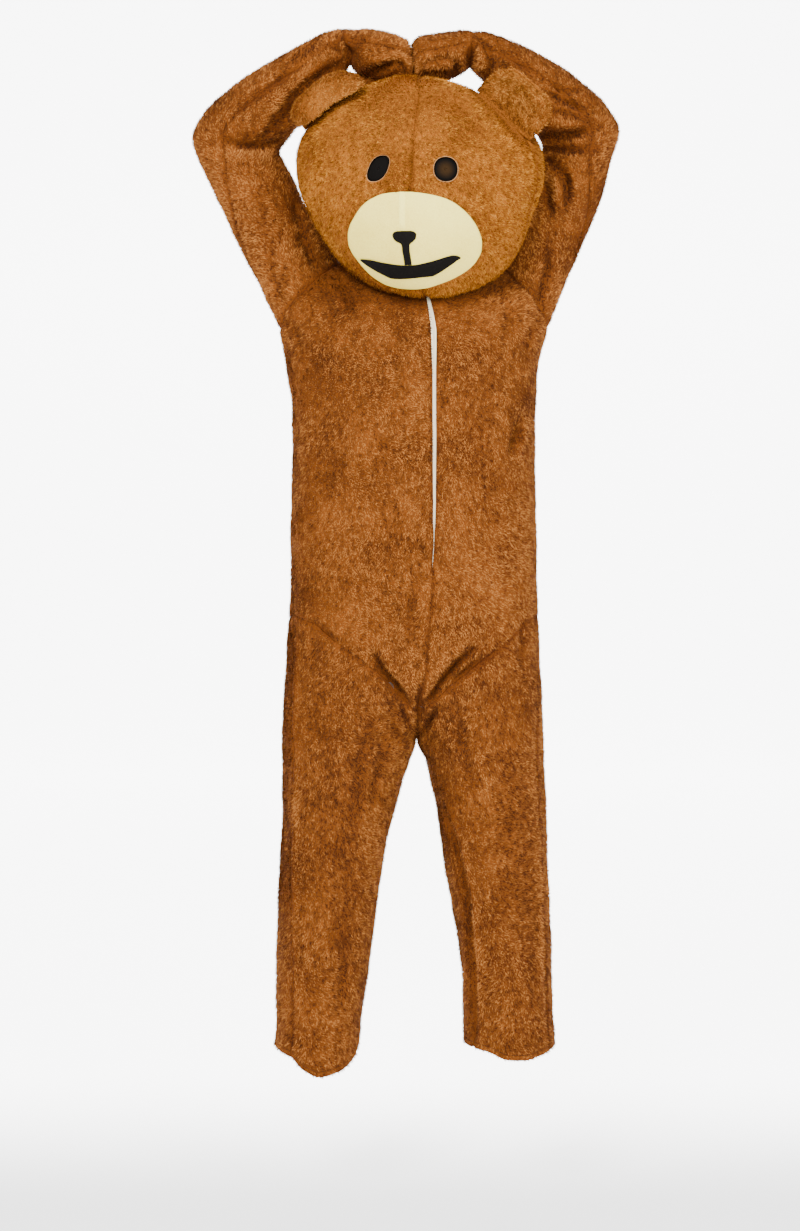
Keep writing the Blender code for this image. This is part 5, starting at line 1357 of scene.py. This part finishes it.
def build_suit(materials):
    grids, signs = suit_grids()
    for name, grid in grids.items():
        if not name.startswith("leg"):
            grid[..., 0] += arm_fill(grid)
    grids, normals, before = settle(grids, signs, suit_push)
    zip_strip(grids, normals, materials)
    for number, (name, grid) in enumerate(grids.items(), 1):
        normal = normals[name]
        if name.startswith("trunk_front"):
            grid = open_zip(grid)
        dip, reach, shade = suit_surface(name, grid, normal)
        outer = grid - normal * dip[..., None]
        inner = backing(before[name], dip, BACKING_STEP)
        run = np.gradient(grid, axis=0)
        nap = unit(run if name.startswith(("sleeve", "mitten")) else -run)
        pile = add_pile("pile_" + name, [(outer, normal, nap, reach, shade, None)], "suit",
                        materials["suit_pile"], number)
        cloth = build_shell("cloth_" + name, [name], outer, inner,
                            [materials["suit_ground"], materials["backing"]],
                            flip=signs[name] < 0, step=BACKING_STEP)
        declare_sheet(grid, [pile])
        if name.startswith("leg"):
            hem_stitches(name, outer, normal, materials)


def hem_stitches(name, outer, normal, materials):
    """Short dark threads along the hem, at an even distance above its edge."""
    height = run_lengths(outer)
    line = np.array([points_at(HEM_STITCH, height[:, k], outer[:, k]) for k in range(outer.shape[1])])
    steps = run_lengths(line)
    points = []
    for mark in np.arange(0.002, steps[-1] - 0.004, STITCH_PITCH):
        ends = np.array([mark, mark + STITCH_LENGTH])
        outs = unit(points_at(ends, steps, normal[1]))
        centres = points_at(ends, steps, line) + outs * 0.0006
        side = np.cross(unit(centres[1] - centres[0]), outs[0])
        for centre, out in zip(centres, outs):
            for turn in np.arange(4) * math.pi / 2:
                points.append(centre + STITCH_RADIUS * (math.cos(turn) * side + math.sin(turn) * out))
    starts = 8 * np.arange(len(points) // 8)
    faces = prism_sides(starts, 4)
    faces.append(np.stack([starts, starts + 3, starts + 2, starts + 1], axis=-1))
    faces.append(np.stack([starts + 4, starts + 5, starts + 6, starts + 7], axis=-1))
    faces = np.concatenate(faces)
    riding(mesh_piece("hem_stitches_" + name, np.array(points), faces, [materials["thread"]]))


def zip_strip(grids, normals, materials):
    """The zip's tape and its closed rows of teeth."""
    grid = grids["trunk_front_left"]
    rows = np.nonzero(grid[:, 0, 2] > ZIP_END_HEIGHT - 0.004)[0]
    seam = grid[rows, 0]
    normal = normals["trunk_front_left"][rows, 0]
    run = unit(np.gradient(seam, axis=0))
    across = unit(np.cross(normal, run))
    across = across * np.sign(across[:, :1])
    sunk = mix(0.0038, 0.0022, ease((seam[:, 2] - 1.105) / 0.080))
    sides, beyond, below = np.array(ZIP_SECTION).T
    places = sides[:, None] * half_zip(seam[:, 2])[:, None, None] + beyond[:, None]
    outer = seam[:, None] - normal[:, None] * (sunk[:, None] + below)[..., None] + across[:, None] * places
    inner = outer - normal[:, None] * TAPE_THICKNESS
    tape = build_shell("zip_tape_cloth", ["zip_tape"], outer, inner, [materials["tape"], materials["tape"]])
    steps = run_lengths(seam)
    marks = np.arange(0.001, steps[-1] - 0.001, TOOTH_PITCH)
    centre = points_at(marks, steps, seam)
    out, side, forward = (unit(points_at(marks, steps, field)) for field in (normal, across, run))
    centre = centre - out * (np.interp(marks, steps, sunk) - 0.0004)[:, None]
    turns = 2 * math.pi * np.arange(6) / 6
    ring = [forward * 0.00055 * math.cos(turn) + out * 0.00075 * math.sin(turn) for turn in turns]
    points = []
    for offset in (-1, 1):
        middle = centre + side * (0.0009 * offset) + forward * (TOOTH_PITCH / 4 * offset)
        for end in (-0.0011, 0.0011):
            points += [middle + side * end + step for step in ring]
    blocks = np.stack(points, axis=1).reshape(-1, 3)
    starts = 12 * np.arange(len(blocks) // 12)
    faces = prism_sides(starts, 6)
    for first in (starts, starts + 6):
        for corners in ((0, 1, 2, 3), (0, 3, 4, 5)):
            faces.append(np.stack([first + corner for corner in corners], axis=-1))
    teeth = mesh_piece("zip_teeth", blocks, np.concatenate(faces), [materials["teeth"]])
    declare_sheet(outer, [riding(teeth)])


def build_thumbs(materials):
    shares = np.arange(THUMB_RING_POINTS) / THUMB_RING_POINTS
    rows = np.concatenate([np.linspace(0, 1, 10), 1 + np.linspace(0.2, 1.0, 5)])
    for side, table in ((RIGHT, RIGHT_THUMB), (LEFT, LEFT_THUMB)):
        word = SIDE_NAMES[side]
        grid = hand_cloth(table, shares, rows)
        closed = np.concatenate([grid, grid[:, :1]], axis=1)
        normal = own_normals(closed, -side)
        outer = closed - normal * THUMB_ROOM
        nap = unit(np.gradient(closed, axis=0) + 1e-9)
        level = np.zeros(closed.shape[:2])
        pile = add_pile("pile_thumb_" + word, [(outer, normal, nap, level + 0.006, level, None)], "suit",
                        materials["suit_pile"], 40 + side)
        shell = outer[:, :-1]
        cloth = build_shell("cloth_thumb_" + word, ["thumb_" + word], shell, shell - normal[:, :-1] * 0.001,
                            [materials["suit_ground"], materials["backing"]], wrap=True,
                            flip=side > 0)
        declare_sheet(closed, [pile])


def in_outline(table, points, spare):
    """Whether points in front of the head lie inside an outline given by height, right and left."""
    x, height = points[..., 0], points[..., 2]
    row = read_all(table, STRIP_COLUMNS, height)
    heights = [line[0] for line in table]
    inside = (x > row["right"] - spare) & (x < row["left"] + spare)
    inside &= (height > min(heights) - spare) & (height < max(heights) + spare)
    return inside & (points[..., 1] < HEAD_MIDDLE_Y - 0.03)


def in_eye(points, spare):
    found = np.zeros(points.shape[:-1], dtype=bool)
    for x, height, half_width, half_height, lean, squareness in EYES.values():
        up = points[..., 2] - height
        across = np.abs(points[..., 0] - x - lean * up) / (half_width + spare)
        found |= across ** squareness + np.abs(up / (half_height + spare)) ** squareness < 1
    return found & (points[..., 1] < HEAD_MIDDLE_Y)


def face_blocked(points, spare):
    return in_outline(MUZZLE, points, spare - 0.0010) | in_eye(points, spare)


def head_push(points, normals):
    """A dip just outside the muzzle and a fuller crown under the hands; the normals play no part."""
    near = in_outline(MUZZLE, points, 0.007) & ~in_outline(MUZZLE, points, 0.0)
    crown = CROWN_DEPTH * bell(points[..., 0] + 0.040, 0.022) * ease((points[..., 2] - 1.83) / 0.02)
    return np.where(near, MUZZLE_DIP, crown)


def foot_distance(points):
    """Distance in the front view from every point to the line along which an ear is sewn on."""
    nearest = np.full(points.shape[:-1], FAR)
    for table, columns in ((LEFT_EAR, LEFT_EAR_COLUMNS), (RIGHT_EAR, RIGHT_EAR_COLUMNS)):
        row = read_all(table, columns, np.linspace(0, 1, 25))
        for place in zip(row["foot_x"], row["foot_height"]):
            nearest = np.minimum(nearest, np.linalg.norm(points[..., [0, 2]] - place, axis=-1))
    return nearest


def head_surface(grid, normal):
    """Depth of the cloth under the pile, the pile's direction and length and the painted light and shade."""
    seam = edge_distance(grid, ("start", "end"))
    by_ear = foot_distance(grid)
    dip = PILE_ROOM + HEAD_TROUGH * bell(seam, 0.0045)
    away = unit(grid - np.array([MUZZLE_CENTRE[0], HEAD_MIDDLE_Y, MUZZLE_CENTRE[1] + 0.08])) * 0.010
    nap = unit(unit(np.gradient(grid, axis=0)) * 0.010 + away * np.array([1.0, 0.0, 0.35]))
    reach = np.minimum(0.0022 + 0.9 * seam, 0.0014 + 0.45 * by_ear)
    # Painted shade: darker pile along the seams and at the ears' feet.
    shade = -0.75 * bell(seam, 0.0034) - EAR_FOOT_SHADE * bell(by_ear, EAR_FOOT_WIDTH)
    # Painted shade in the dip just outside the muzzle.
    shade = shade + SHADE * np.minimum(head_push(grid, normal), 0)
    # Painted light and shade: the crown lighter and the face below darker, as light falls from above.
    shade = shade + mix(-0.08, 0.07, ease((grid[..., 2] - 1.70) / 0.10))
    return dip, nap, reach, shade


def build_head(materials):
    rows = np.linspace(0, 1, HEAD_ROWS + 1)
    side_shares = np.linspace(0, 1, HEAD_SIDE_COLUMNS + 1)
    back_shares = np.linspace(0, 1, HEAD_BACK_COLUMNS + 1)
    grids = {
        "head_front_right": head_panel("right", "front", side_shares, rows),
        "head_front_left": head_panel("front", "left", side_shares, rows),
        "head_back_left": head_panel("left", "behind", back_shares, rows),
        "head_back_right": head_panel("behind", "right_behind", back_shares, rows),
    }
    grids, normals, before = settle(grids, dict.fromkeys(grids, -1), head_push)
    for number, (name, grid) in enumerate(grids.items()):
        normal = normals[name]
        dip, nap, reach, shade = head_surface(grid, normal)
        outer = grid - normal * dip[..., None]
        on_face = name.startswith("head_front")
        blocked = face_blocked if on_face else None
        pile = add_pile("pile_" + name, [(outer, normal, nap, reach, shade, blocked)], "head",
                        materials["head_pile"], 60 + number)
        cloth = build_shell("cloth_" + name, [name], outer, backing(before[name], dip, BACKING_STEP),
                            [materials["head_ground"], materials["backing"]], flip=True,
                            step=BACKING_STEP)
        declare_sheet(grid, [pile])
        if on_face:
            cut_eye(cloth, RIGHT if name.endswith("right") else LEFT)


def cut_eye(cloth, side):
    """Cuts the eye opening through the fine shell."""
    outline = eye_outline(side, 0.0)
    count = len(outline)
    front = head_front(outline[:, 0], outline[:, 1])[:, 1]
    rings = [np.stack([outline[:, 0], np.full(count, y), outline[:, 1]], axis=-1)
             for y in (front.min() - 0.03, front.max() + 0.03)]
    cutter_mesh = bpy.data.meshes.new("eye_cutter")
    sides = [(i, (i + 1) % count, (i + 1) % count + count, i + count) for i in range(count)]
    ends = [tuple(range(count))[::-1], tuple(range(count, 2 * count))]
    cutter_mesh.from_pydata([tuple(p) for p in lowered(np.concatenate(rings))], [], sides + ends)
    form = bmesh.new()
    form.from_mesh(cutter_mesh)
    bmesh.ops.recalc_face_normals(form, faces=form.faces)
    form.to_mesh(cutter_mesh)
    form.free()
    cutter = bpy.data.objects.new("eye_cutter", cutter_mesh)
    bpy.context.scene.collection.objects.link(cutter)
    cut = cloth.modifiers.new("eye_opening", "BOOLEAN")
    cut.operation = "DIFFERENCE"
    cut.solver = "EXACT"
    cut.object = cutter
    shape = bpy.data.meshes.new_from_object(cloth.evaluated_get(bpy.context.evaluated_depsgraph_get()))
    cloth.modifiers.remove(cut)
    cloth.data = shape
    bpy.data.objects.remove(cutter, do_unlink=True)


def build_eyes(materials):
    # The left eye gets a painted brown glow at its centre; the right one stays dark throughout.
    for side, painted_glow in ((RIGHT, EYE_DARK), (LEFT, (0.024, 0.012, 0.004))):
        word = SIDE_NAMES[side]
        outline = eye_outline(side, SEAM_GAP)
        centre = outline.mean(axis=0)
        flat = np.stack([centre + (outline - centre) * share for share in (1.0, 0.75, 0.5, 0.25, 0.02)])
        outer = head_front(flat[..., 0], flat[..., 1])
        outer[..., 1] += np.array([0.0045, 0.0040, 0.0036, 0.0034, 0.0033])[:, None]
        inner = outer + np.array([0.0, 0.0008, 0.0])
        middle = (centre[0], float(outer[-1, 0, 1]), centre[1] - HOLD_HEIGHT)
        material = eye_material("eye_mesh_" + word + "_cloth", middle, painted_glow)
        eye = build_shell("eye_cloth_" + word, ["eye_mesh_" + word], outer, inner, [material, material],
                          wrap=True)
        closed = np.concatenate([outer, outer[:, :1]], axis=1)
        declare_sheet(closed, [], flat=np.ptp(outline, axis=0))
        place = head_front(outline[:, 0], outline[:, 1]) + np.array([0.0, 0.0014, 0.0])
        ring_piece("eye_rim_" + word, place, 0.0007, materials["cut_edge"])


def ring_piece(name, line, radius, material):
    """A thin round edge along a closed line of points."""
    run = unit(np.roll(line, -1, axis=0) - np.roll(line, 1, axis=0))
    side = unit(np.cross(run, np.array([0.0, 1.0, 0.0])))
    out = np.cross(side, run)
    count = 6
    turns = 2 * math.pi * np.arange(count) / count
    rings = [line + radius * (math.cos(turn) * side + math.sin(turn) * out) for turn in turns]
    points = np.stack(rings, axis=1)
    row, k = np.divmod(np.arange(count * len(line)), count)
    here, after = row * count, (row + 1) % len(line) * count
    following = (k + 1) % count
    faces = np.stack([here + k, here + following, after + following, after + k], axis=-1)
    riding(mesh_piece(name, points.reshape(-1, 3), faces, [material]))


def patch(node, strip, low, thickness, material, crown, rim, raised=0.0):
    """A felt piece on the face; crown lifts its middle, rim lets its edge down, raised lifts parts of it."""
    x, height = strip
    rows, columns = x.shape
    v, u = np.meshgrid(np.linspace(-1, 1, rows), np.linspace(-1, 1, columns), indexing="ij")
    inside = (1 - u ** 2) * (1 - v ** 2)
    lift = low + crown * inside - rim * np.exp(-inside / 0.03)
    outer = head_front_out(x, height, lift + thickness + raised)
    inner = head_front_out(x, height, lift)
    piece = build_shell(node + "_cloth", [node], outer, inner, [material, material])
    widest = step_lengths(outer, 1).sum(axis=1).max()
    tallest = step_lengths(outer[:, columns // 2], 0).sum()
    declare_sheet(outer, [], flat=(widest, tallest))


def build_face(materials):
    x, height = strip_grid(MUZZLE, 72, 90)
    band = ease((0.0050 - np.abs(x - MUZZLE_BAND_X)) / 0.0022) * ease((height - 1.590) / 0.006)
    patch("muzzle", (x, height), 0.0002, 0.0016, materials["felt"], 0.0012, 0.0016,
          0.0018 * band)
    nose = strip_grid(NOSE, 36, 12)
    mouth = strip_grid(MOUTH, 60, 12, sideways=True)
    for node, strip in (("nose", nose), ("mouth", mouth)):
        patch(node, strip, 0.0036, 0.0010, materials["black_felt"], 0.0002, 0.0004)


def refine(grid, rows, columns):
    """A smooth finer grid through the points of a coarse one."""
    def along(values, count):
        places = np.linspace(0, len(values) - 1, count)
        steps = np.arange(len(values), dtype=float)
        flat = values.reshape(len(values), -1)
        out = [read(list(zip(steps, column)), ("step", "value"), "value", places) for column in flat.T]
        return np.stack(out, axis=-1).reshape((count,) + values.shape[1:])
    finer = along(grid, rows)
    return np.swapaxes(along(np.swapaxes(finer, 0, 1), columns), 0, 1)


def finish_ear(word, nodes, skins, materials, seed, tone):
    """Pile over both skins of an ear, each given with its sign, and the padded cloth under them."""
    panels = []
    for grid, sign in skins:
        normal = own_normals(grid, sign)
        nap = unit(np.gradient(grid, axis=0) + 1e-9)
        foot = edge_distance(grid, ("bottom",))
        # Painted shade: the ear's pile darker near its foot.
        shade = tone - EAR_FOOT_SHADE * bell(foot, EAR_FOOT_WIDTH)
        panels.append((grid - normal * EAR_ROOM, normal, nap, 0.0016 + 0.4 * foot, shade, None))
    add_pile("pile_ear_" + word, panels, "ear", materials["ear_pile"], seed)
    ground = materials["head_ground"]
    ear = build_shell("cloth_ear_" + word, nodes, panels[0][0], panels[1][0], [ground, ground])


def build_standing_ear(materials):
    """The ear at the wearer's left: a plump disc sewn on by its foot, hollow in front, with a round rim."""
    shares = np.linspace(0, 1, 41)
    rise = np.linspace(0, 1, 26)[:, None, None]
    foot_x, foot_height, edge_x, edge_height = read_all(LEFT_EAR, LEFT_EAR_COLUMNS, shares).values()
    first_y = ear_foot(foot_x, foot_height, 0.0)[:, 1]
    middle = np.sin(math.pi * shares)[None, :, None]
    roll = 0.004 * ease((rise - 0.55) / 0.30) * ease((1.0 - rise) / 0.18)
    hollow = 0.011 * np.clip(np.sin(math.pi * rise), 0, 1) ** 0.8 * middle - roll * ease(middle * 3)
    skins = []
    for behind, share in ((0.0, 1.0), (EAR_DEPTH, 0.7)):
        foot = ear_foot(foot_x, foot_height, behind)
        edge = np.stack([edge_x, first_y - 0.006 + behind, edge_height], axis=-1)
        skins.append(mix(foot[None], edge[None], rise) + hollow * np.array([0, 1, 0]) * share)
    front, back = skins
    rounding = 0.5 - 0.5 * np.sqrt(1 - np.clip((rise - 0.72) / 0.28, 0, 0.96) ** 2)
    skins = [(mix(front, back, rounding), 1), (mix(back, front, rounding), -1)]
    finish_ear("left", ["ear_left_front", "ear_left_back"], skins, materials, 80, -0.04)


def build_folded_ear(materials):
    """The ear at the wearer's right, folded down over its own foot."""
    row = read_all(RIGHT_EAR, RIGHT_EAR_COLUMNS, np.linspace(0, 1, 9))
    foot, fold, edge = (np.stack([row[word + "_x"], row[word + "_height"]], axis=-1)
                        for word in ("foot", "fold", "edge"))
    foot_y = head_front(foot[:, 0] + 0.002, foot[:, 1] - 0.002)[:, 1] + 0.004
    edge_y = head_front(edge[:, 0] + 0.004, edge[:, 1] - 0.004)[:, 1] - 0.012
    path = []
    for start, share, y_share in FOLD_PATH:
        path.append((mix(foot if start == "foot" else edge, fold, share), mix(foot_y, edge_y, y_share)))
    grid = np.stack([np.stack([flat[:, 0], y, flat[:, 1]], axis=-1) for flat, y in path])
    normal = own_normals(grid, 1)
    skins = []
    for out in (0.0, EAR_DEPTH):
        skin = grid + normal * out
        skin[0] = ear_foot(foot[:, 0], foot[:, 1], out)
        skins.append(refine(skin, 40, 40))
    inner, outer = skins
    skins = [(outer, 1), (inner, -1)]
    finish_ear("right", ["ear_right_outer", "ear_right_inner"], skins, materials, 81, 0.10)


def spread(tree, value, start, result):
    """Turns one range of values softly into another."""
    change = node_of(tree, "ShaderNodeMapRange", interpolation_type="SMOOTHSTEP")
    for name, number in zip(("From Min", "From Max", "To Min", "To Max"), start + result):
        change.inputs[name].default_value = number
    tree.links.new(value, change.inputs["Value"])
    return change.outputs["Result"]


def build_floor():
    """A plain pale floor that curves up far behind and glows there."""
    material, tree, shader = new_material("pale_floor", 0.9, 0.0, 0.5, 0.2)
    shader.inputs["Base Color"].default_value = (0.9, 0.9, 0.9, 1.0)
    shader.inputs["Emission Color"].default_value = (1.0, 1.0, 1.0, 1.0)
    place = parts_of(tree, coords_of(tree))
    behind = spread(tree, place["Y"], (-0.1, 0.9), (0.85, 6.0))
    near = spread(tree, maths(tree, "ABSOLUTE", place["X"]), (2.1, 3.1), (1.0, 0.1))
    tree.links.new(maths(tree, "MULTIPLY", behind, near), shader.inputs["Emission Strength"])
    profile = [(-14.0, 0.0), (5.5, 0.0)]
    turns = np.linspace(0.1, math.pi / 2, 12)
    profile += [(5.5 + 2.0 * math.sin(turn), 2.0 - 2.0 * math.cos(turn)) for turn in turns]
    profile += [(7.5, 12.0)]
    points = [(x, y, z) for y, z in profile for x in (-14.0, 14.0)]
    faces = [(2 * i, 2 * i + 1, 2 * i + 3, 2 * i + 2) for i in range(len(profile) - 1)]
    mesh_piece("floor", np.array(points), faces, [material])


def build_stage():
    """The floor, soft lights and the photo's camera."""
    build_floor()
    scene = bpy.context.scene
    world = bpy.data.worlds.new("studio")
    world.use_nodes = True
    world.node_tree.nodes["Background"].inputs["Color"].default_value = (1.0, 1.0, 1.0, 1.0)
    world.node_tree.nodes["Background"].inputs["Strength"].default_value = 0.90
    scene.world = world
    for name, place, size, power in LIGHTS:
        lamp = bpy.data.lights.new(name, "AREA")
        lamp.size = size
        lamp.energy = power
        light = bpy.data.objects.new(name, lamp)
        aim_at(light, place, (0.0, 0.0, 0.1))
        scene.collection.objects.link(light)
    lens = bpy.data.cameras.new("front_camera")
    lens.sensor_fit = "VERTICAL"
    lens.sensor_height = 36.0
    lens.lens = 74.6
    camera = bpy.data.objects.new("front_camera", lens)
    aim_at(camera, (-0.0297, -4.2, -0.19), (-0.0297, 0.0, -0.4665))
    scene.collection.objects.link(camera)
    scene.camera = camera


def aim_at(thing, place, target):
    line = np.array(target) - np.array(place)
    thing.location = place
    pitch = math.atan2(line[2], math.hypot(line[0], line[1]))
    thing.rotation_euler = (math.pi / 2 + pitch, 0.0, math.atan2(-line[0], line[1]))


def main():
    materials = make_materials()
    build_stage()
    build_suit(materials)
    build_thumbs(materials)
    build_head(materials)
    build_eyes(materials)
    build_face(materials)
    build_standing_ear(materials)
    build_folded_ear(materials)


main()
